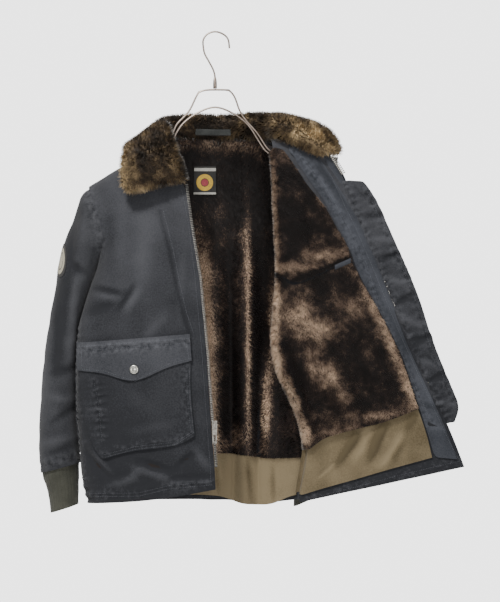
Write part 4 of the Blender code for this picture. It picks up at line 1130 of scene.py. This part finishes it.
# %% Zip
TAPE = canvas("zip_tape_cloth", (0.016, 0.019, 0.026), (0.050, 0.056, 0.070))
RIGHT_ZIP = [(-56, -52, -290), (-52, -57, -322), (-47, -62, -358), (-36, -65, -426), (-29.6, -66, -462),
             (-16, -68, -603), (-6, -68, -742)]
RIGHT_ZIP_LOW = [(-5, -67.5, -752), (-1, -64, -800), (0, -63, -822)]
LEFT_ZIP = [(217.5, -36, -238), (240, -36, -274), (246, -31, -296), (257, -30, -331), (277, -31, -369),
            (306, -28, -438), (357, -26, -562), (402, -26, -662), (437, -28, -737)]
TOOTH_PITCH = 3.3


def along_line(line, pitch):
    """Points every pitch along a line, and the way it runs at each."""
    line = np.array(line, float)
    steps = np.linalg.norm(np.diff(line, axis=0), axis=1)
    runs = np.concatenate([[0.0], np.cumsum(steps)])
    at = np.arange(pitch / 2, runs[-1], pitch)

    def after(run):
        return np.stack([np.interp(run, runs, line[:, k]) for k in range(3)], axis=1)

    return after(at), unit(after(at + 0.5) - after(at - 0.5))


TOOTH = np.array([
    (0.0, -1.1, -0.75), (0.0, 1.1, -0.75), (0.0, 1.1, 0.75), (0.0, -1.1, 0.75),
    (3.4, -1.0, -0.60), (3.4, 1.0, -0.60), (3.4, 1.0, 0.60), (3.4, -1.0, 0.60),
    (4.8, -1.2, -0.85), (4.8, 1.2, -0.85), (4.8, 1.2, 0.85), (4.8, -1.2, 0.85),
    (5.6, -0.7, -0.45), (5.6, 0.7, -0.45), (5.6, 0.7, 0.45), (5.6, -0.7, 0.45),
])
TOOTH_FACES = [(3, 2, 1, 0), (12, 13, 14, 15)] + [
    (4 * r + k, 4 * r + (k + 1) % 4, 4 * r + 4 + (k + 1) % 4, 4 * r + 4 + k)
    for r in range(3) for k in range(4)]


def copies(name, shape, faces, places, rights, fronts, ups, material):
    """One mesh that repeats a small shape at many places."""
    points = []
    polygons = []
    for k, place in enumerate(places):
        turned = shape[:, :1] * rights[k] + shape[:, 1:2] * fronts[k] + shape[:, 2:] * ups[k]
        points.append(place + turned)
        polygons.extend([tuple(v + k * len(shape) for v in face) for face in faces])
    return from_points(name, np.concatenate(points), polygons, material)


def teeth(name, line, reach, scale=1.0):
    """A row of teeth that look towards the zip's other half."""
    places, ways = along_line(line, TOOTH_PITCH * scale ** 0.3)
    fronts = np.tile([0.0, -1.0, 0.0], (len(places), 1))
    rights = np.cross(ways, fronts)
    rights = rights * np.sign(rights[:, :1])
    places = places + rights * reach
    thing = copies(name, TOOTH * scale, TOOTH_FACES, places, rights, fronts, ways, ZIP_METAL)
    alone(thing)
    bpy.ops.object.mode_set(mode="EDIT")
    bpy.ops.mesh.select_all(action="SELECT")
    bpy.ops.mesh.normals_make_consistent(inside=False)
    bpy.ops.object.mode_set(mode="OBJECT")
    settle(thing)
    print(name, len(places), "teeth")


def strip(name, rows, material, levels):
    """A smooth open strip of cloth through rows of points."""
    rows = np.array(rows, float)
    count = rows.shape[1]
    faces = [(i * count + j, i * count + j + 1, (i + 1) * count + j + 1, (i + 1) * count + j)
             for i in range(len(rows) - 1) for j in range(count - 1)]
    thing = from_points(name, rows, faces, material)
    subdivide(thing, levels, boundary_smooth="PRESERVE_CORNERS")
    thing.data.attributes.new("wear_and_crease_shade", "FLOAT", "POINT")
    return thing


def tape(name, node, line, width, back):
    """Flat strip of tape along a line, with a cord of thicker weave at its edge."""
    across = [(0.3, 0.0), (width * 0.6, 0.0), (width * 0.8, -0.9), (width, 0.0)]
    rows = [[(x + over, y + back + out, z) for over, out in across] for x, y, z in line]
    thing = strip(name, rows, TAPE, 2)
    finish_modifier(thing, "SOLIDIFY", thickness=0.5 * MM, offset=0)
    alone(thing)
    bpy.ops.object.shade_smooth_by_angle(angle=math.radians(50))
    settle(thing, node)


tape("right_zip_tape", "zip_right", RIGHT_ZIP + RIGHT_ZIP_LOW, 4.2, 1.6)
teeth("right_teeth", RIGHT_ZIP, 0.8)
teeth("right_low_teeth", RIGHT_ZIP_LOW, 0.8)
tape("left_zip_tape", "zip_left", [(x - 9, y + 4, z) for x, y, z in LEFT_ZIP], 15.0, -1.2)
teeth("left_teeth", [(x, y - 1.4, z) for x, y, z in LEFT_ZIP[:2]], 0.6, 1.5)
teeth("left_low_teeth", LEFT_ZIP[2:], 0.2)

# %% [markdown]
# The woven neck label and the sleeve patch get plain designs of their own, in
# colours like the real ones: an ochre ring with a red middle between two pale
# strips, and a cream cloth with a dark rim.

# %% Label, patch and hanging loop


def ring_mask(finish, centre, radius, half):
    """1 on a ring round a centre on the front view, and 0 away from it."""
    x, _, z = centre
    moved = finish.node("ShaderNodeMapping", {}, {
        "Vector": finish.place(), "Location": (-x, 0, -z), "Scale": (1, 0, 1)})
    away = finish.node("ShaderNodeVectorMath", {"operation": "LENGTH"}, [moved], output=1)
    off = finish.node("ShaderNodeMath", {"operation": "ABSOLUTE"}, [away - radius])
    return finish.node("ShaderNodeMath", {"operation": "LESS_THAN"}, [off, half])


def strip_mask(finish, low, high):
    """1 between two levels, and 0 above and below."""
    level = finish.level()
    above = finish.node("ShaderNodeMath", {"operation": "GREATER_THAN"}, [level, low])
    return above * finish.node("ShaderNodeMath", {"operation": "LESS_THAN"}, [level, high])


label_low, label_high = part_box("neck_label")
label_centre = ((label_low.x + label_high.x) / 2, 0, (label_low.z + label_high.z) / 2 - 0.004)
label = Finish("label_weave", Roughness=0.75)
weave = label.noise(1500.0, 2.0)
face = label.ramp(weave, [(0.35, (0.008, 0.008, 0.008)), (0.7, (0.035, 0.033, 0.030))])
pale = label.ramp(weave, [(0.35, (0.30, 0.29, 0.26)), (0.7, (0.62, 0.60, 0.55))])
ochre = label.ramp(weave, [(0.35, (0.45, 0.26, 0.03)), (0.7, (0.72, 0.50, 0.08))])
red = label.ramp(weave, [(0.35, (0.22, 0.03, 0.04)), (0.7, (0.42, 0.07, 0.08))])
face = label.mixed(strip_mask(label, label_high.z - 0.010, label_high.z - 0.004), face, pale)
face = label.mixed(strip_mask(label, label_low.z + 0.001, label_low.z + 0.005), face, pale)
face = label.mixed(ring_mask(label, label_centre, 0.012, 0.004), face, ochre)
face = label.mixed(ring_mask(label, label_centre, 0.0, 0.0068), face, red)
label.feed("Base Color", face)
label.bump(weave, 0.4, 0.0003)


def flat_height(points, normals):
    return rumple(points, 12, 0.25)


panel("woven_label", "neck_label", label.material, FRONT, 3, flat_height, thickness=0.6)

PATCH_RISE = 2.3
PATCH_RADII = (20.5, 31.5)
patch_finish = Finish("patch_cloth", Roughness=0.85, Sheen_Weight=0.1)
stitched = patch_finish.noise(1100.0, 3.0)
cream = patch_finish.ramp(stitched, [(0.35, (0.42, 0.38, 0.27)), (0.7, (0.74, 0.70, 0.56))])
rim = patch_finish.ramp(stitched, [(0.35, (0.020, 0.020, 0.022)), (0.7, (0.070, 0.065, 0.060))])
patch_finish.feed("Base Color", patch_finish.mixed(patch_finish.attribute("rim"), cream, rim))
patch_finish.bump(stitched, 0.7, 0.0005)
patch = one_side("round_patch", "sleeve_patch", patch_finish.material, Vector((-1, 0, 0)), 3)
press(patch, lambda points, normals: PATCH_RISE + flat_height(points, normals))
patch_points, _ = points_of(patch)
_, from_y, from_z = (patch_points - patch_points.mean(axis=0)).T
away = np.hypot(from_y / PATCH_RADII[0], from_z / PATCH_RADII[1])
mark(patch, "rim", np.clip((away - 0.76) / 0.04, 0, 1) + 0.9 * (np.abs(away - 0.5) < 0.035))
thicken(patch, 1.2, "sleeve_patch")
loop = smoothed("hanging_loop", "neck_loop", LOOP_CLOTH)
LOOP_FORWARD = 7
loop_points, _ = points_of(loop)
move_to(loop, loop_points - (0, LOOP_FORWARD, 0))

# %% [markdown]
# Top stitching is what makes a work jacket look sewn. Each stitch is a tiny
# eight-sided bead of thread, laid along a line and dropped onto the cloth from
# the front, so that it lies on the surface wherever the cloth has gone.

# %% Stitches
thread = Finish("thread", Roughness=0.7)
thread.feed("Base Color", thread.ramp(
    thread.noise(400.0), [(0.3, (0.075, 0.082, 0.100)), (0.7, (0.200, 0.212, 0.240))]))
STITCH = np.array([(-1.15, 0, 0), (1.15, 0, 0), (0, -0.42, 0), (0, 0.3, 0), (0, 0, -0.36), (0, 0, 0.36)])
STITCH_FACES = [(0, 2, 4), (0, 4, 3), (0, 3, 5), (0, 5, 2), (1, 4, 2), (1, 3, 4), (1, 5, 3), (1, 2, 5)]


STITCH_PITCH = 3.3
FAR_OFF = 300


def tree_of(thing):
    """A search tree of a piece's faces, in millimetres."""
    points, _ = points_of(thing)
    return BVHTree.FromPolygons(points.tolist(), [tuple(face.vertices) for face in thing.data.polygons])


def sew(name, hosts, lines, side=-1):
    """Rows of stitches along lines of x, z points, dropped onto the hosts from one side."""
    trees = [tree_of(host) for host in hosts]
    places, rights, fronts, ups = [], [], [], []
    for line in lines:
        spots, ways = along_line([(x, 0, z) for x, z in line], STITCH_PITCH)
        for spot, way in zip(spots, ways):
            best = None
            outside = Vector((spot[0], side * FAR_OFF, spot[2]))
            for tree in trees:
                hit, normal, _, _ = tree.ray_cast(outside, Vector((0, -side, 0)))
                if hit is not None and (best is None or side * hit.y > side * best[0].y):
                    best = (hit, normal)
            if best is None:
                continue
            hit, normal = best
            out = np.array(normal)
            run = way - out * (way @ out)
            run = run / np.linalg.norm(run)
            places.append(np.array(hit))
            rights.append(run)
            fronts.append(-out)
            ups.append(np.cross(run, out))
    thing = copies(name, STITCH, STITCH_FACES, places, rights, fronts, ups, thread.material)
    alone(thing)
    bpy.ops.object.shade_smooth()
    settle(thing)
    print(name, len(places), "stitches")


def beside(line, off):
    """A line moved sideways by off millimetres."""
    line = np.array(line, float)
    way = unit(np.gradient(line, axis=0))
    return line + off * np.stack([-way[:, 1], way[:, 0]], axis=1)


ZIP_STITCH = [(-62, -300), (-50, -358), (-37, -462), (-24, -603), (-14, -742), (-8, -822), (-7, -850)]
FLAP_LOWER = [(-249, -638), (-206, -641), (-168, -654), (-148, -660),
              (-126, -648), (-84, -627), (-48, -618)]
right_lines = [beside(FACING_SEAM, 7), ZIP_STITCH, beside(HEM_SEAM, 2), beside(HEM_SEAM, -4)]
pocket_lines = [FLAP_TOP, FLAP_TOP_LOWER, FLAP_LOWER, BAG_EDGE, beside(BAG_EDGE, 5),
                [(-250, -606), (-249, -638)], [(-52, -590), (-48, -618)], GUSSET_SEAM]
sew("right_stitches", [right_front], right_lines)
sew("pocket_stitches", [right_bag, right_flap], pocket_lines)
HEM_OPEN = [(200, -878), (262, -862), (336, -842), (410, -824), (464, -812)]
EDGE_OPEN = [(217, -268), (245, -330), (266, -372), (296, -442),
             (347, -566), (392, -666), (440, -770), (462, -812)]
sew("facing_stitches", [facing, left_front], [beside(FACING_STITCH, 4), HEM_OPEN, EDGE_OPEN])
sew("flap_stitches", [wind_flap], [FLAP_OUTER, beside(FLAP_SEAM, -6)])
BACK_SEAMS = [BACK_HEM_SEAM, [(-5, -230), (-4, -300)], [(-150, -300), (140, -300)]]
sew("hem_stitches", [jacket_back], BACK_SEAMS, side=1)

# %% [markdown]
# The turned-out front hides its own pocket behind it. That pocket's snap is a
# copy of the front one, turned round and set on the twin flap's point.

# %% Left snap and inner pocket's welt
LEFT_FLAP_POINT = (268, -662)
SNAP_GAP = 0.2
x, z = LEFT_FLAP_POINT
hit, _, _, _ = tree_of(left_flap).ray_cast(Vector((x, FAR_OFF, z)), FRONT)
snap_points, _ = points_of(snap)
snap_middle = np.array([-150.4, snap_points[:, 1].max(), -637.6])
left_snap = bpy.data.objects.new("left_snap", snap.data.copy())
bpy.context.scene.collection.objects.link(left_snap)
move_to(left_snap, (snap_points - snap_middle) * (-1, -1, 1) + np.array(hit) + (0, SNAP_GAP, 0))
settle(left_snap)

WELT = [(226, -443.5), (240, -437.5), (256, -430.5)]
welt_rows = [[(x, -44.0, z + 1.5), (x, -46.5, z - 2.5), (x + 1, -44.5, z - 7.5)] for x, z in WELT]
welt = strip("pocket_welt", welt_rows, FACING_CLOTH, 3)
thicken(welt, 1.2)

# %% [markdown]
# Each sheet of cloth is listed with the size of its cut, and its area is printed
# beside that. The areas here are those of what shows.

SHEETS = [
    # piece, width, length
    ("right_front", 0.36, 0.70),
    ("jacket_back", 0.62, 0.70),
    ("left_front", 0.38, 0.72),
    ("left_facing", 0.075, 0.68),
    ("front_flap", 0.055, 0.50),
    ("right_sleeve", 0.27, 0.57),
    ("left_sleeve", 0.25, 0.57),
    ("right_cuff", 0.21, 0.10),
    ("left_cuff", 0.19, 0.09),
    ("back_band", 0.58, 0.08),
    ("left_band", 0.30, 0.11),
    ("right_bag", 0.22, 0.22),
    ("right_pocket_flap", 0.22, 0.09),
    ("left_bag", 0.22, 0.22),
    ("left_pocket_flap", 0.22, 0.09),
    ("woven_label", 0.045, 0.057),
    ("round_patch", 0.048, 0.068),
    ("hanging_loop", 0.014, 0.070),
    ("pocket_welt", 0.010, 0.045),
    ("right_zip_tape", 0.010, 0.56),
    ("left_zip_tape", 0.016, 0.56),
]
PILES = [
    # backing, width, length, fur
    ("back_pile_backing", 0.60, 0.62, "back_pile_fur"),
    ("right_pile_backing", 0.22, 0.58, "right_pile_fur"),
    ("left_upper_pile_backing", 0.17, 0.27, "left_upper_pile_fur"),
    ("left_lower_pile_backing", 0.30, 0.36, "left_lower_pile_fur"),
    ("collar_backing", 0.50, 0.15, "collar_fur"),
]


def declare(name, width, length):
    """Prints half a shell's surface as the area of its cloth, beside its rectangle, and holds that area to
    at least 0.3 of the rectangle, which nothing then uses.
    """
    thing = bpy.data.objects[name]
    area = sum(face.area for face in thing.data.polygons) / 2
    print("sheet", name, round(area, 4), "of", round(width * length, 4))
    area = min(max(area, 0.301 * width * length), width * length)


for name, width, length in SHEETS:
    declare(name, width, length)
for name, width, length, fur in PILES:
    declare(name, width, length)

# %% [markdown]
# The studio is a pale floor below the jacket, a bright surround, and three soft
# lights. The key is at the upper left and shades the folds, the fill lights the
# lining through the opening, and the last one is behind. The camera sees a
# brighter surround than the cloth does, so that the ground is nearly white.

# %% Floor and light
FLOOR_LEVEL = -1.27
SURROUND_ON_CLOTH = 0.42
SURROUND_SEEN = 3.2
WHITE = (1.0, 1.0, 1.0, 1.0)
bpy.ops.mesh.primitive_plane_add(size=2.4, location=(0.05, 0.1, FLOOR_LEVEL))
floor = bpy.context.active_object
floor.name = "floor"
pale_floor = Finish("pale_floor", Roughness=0.8)
pale_floor.feed("Base Color", pale_floor.ramp(
    pale_floor.noise(3.0), [(0.3, (0.88, 0.88, 0.87)), (0.7, (0.92, 0.92, 0.91))]))
floor.data.materials.append(pale_floor.material)

world = bpy.data.worlds.new("surround")
bpy.context.scene.world = world
world.use_nodes = True
tree = world.node_tree
ray = tree.nodes.new("ShaderNodeLightPath")
either = tree.nodes.new("ShaderNodeMixShader")
tree.links.new(ray.outputs["Is Camera Ray"], either.inputs[0])
for socket, glow, strength in ((1, tree.nodes["Background"], SURROUND_ON_CLOTH),
                               (2, tree.nodes.new("ShaderNodeBackground"), SURROUND_SEEN)):
    glow.inputs["Color"].default_value = WHITE
    glow.inputs["Strength"].default_value = strength
    tree.links.new(glow.outputs[0], either.inputs[socket])
tree.links.new(either.outputs[0], tree.nodes["World Output"].inputs["Surface"])


def soft_light(name, place, aim, size, watts, colour):
    """A round area light, turned to look at its aim."""
    data = bpy.data.lights.new(name, "AREA")
    data.shape = "DISK"
    data.size = size
    data.energy = watts
    data.color = colour
    lamp = bpy.data.objects.new(name, data)
    bpy.context.scene.collection.objects.link(lamp)
    lamp.location = place
    lamp.rotation_euler = (Vector(aim) - Vector(place)).to_track_quat("-Z", "Y").to_euler()


soft_light("key", (-0.9, -1.7, 1.7), (0.0, 0.0, -0.5), 0.4, 80, (1.0, 0.985, 0.96))
soft_light("fill", (0.7, -3.4, -0.5), (0.1, 0.0, -0.6), 1.0, 30, (1.0, 0.99, 0.98))
soft_light("back", (0.6, 2.4, 0.2), (0.0, 0.0, -0.5), 1.4, 18, (1.0, 1.0, 1.0))

# %% [markdown]
# Fur and creases stand proud of the solids, and may do so by only a few
# millimetres.

# %% Finish
bpy.ops.object.select_all(action="DESELECT")
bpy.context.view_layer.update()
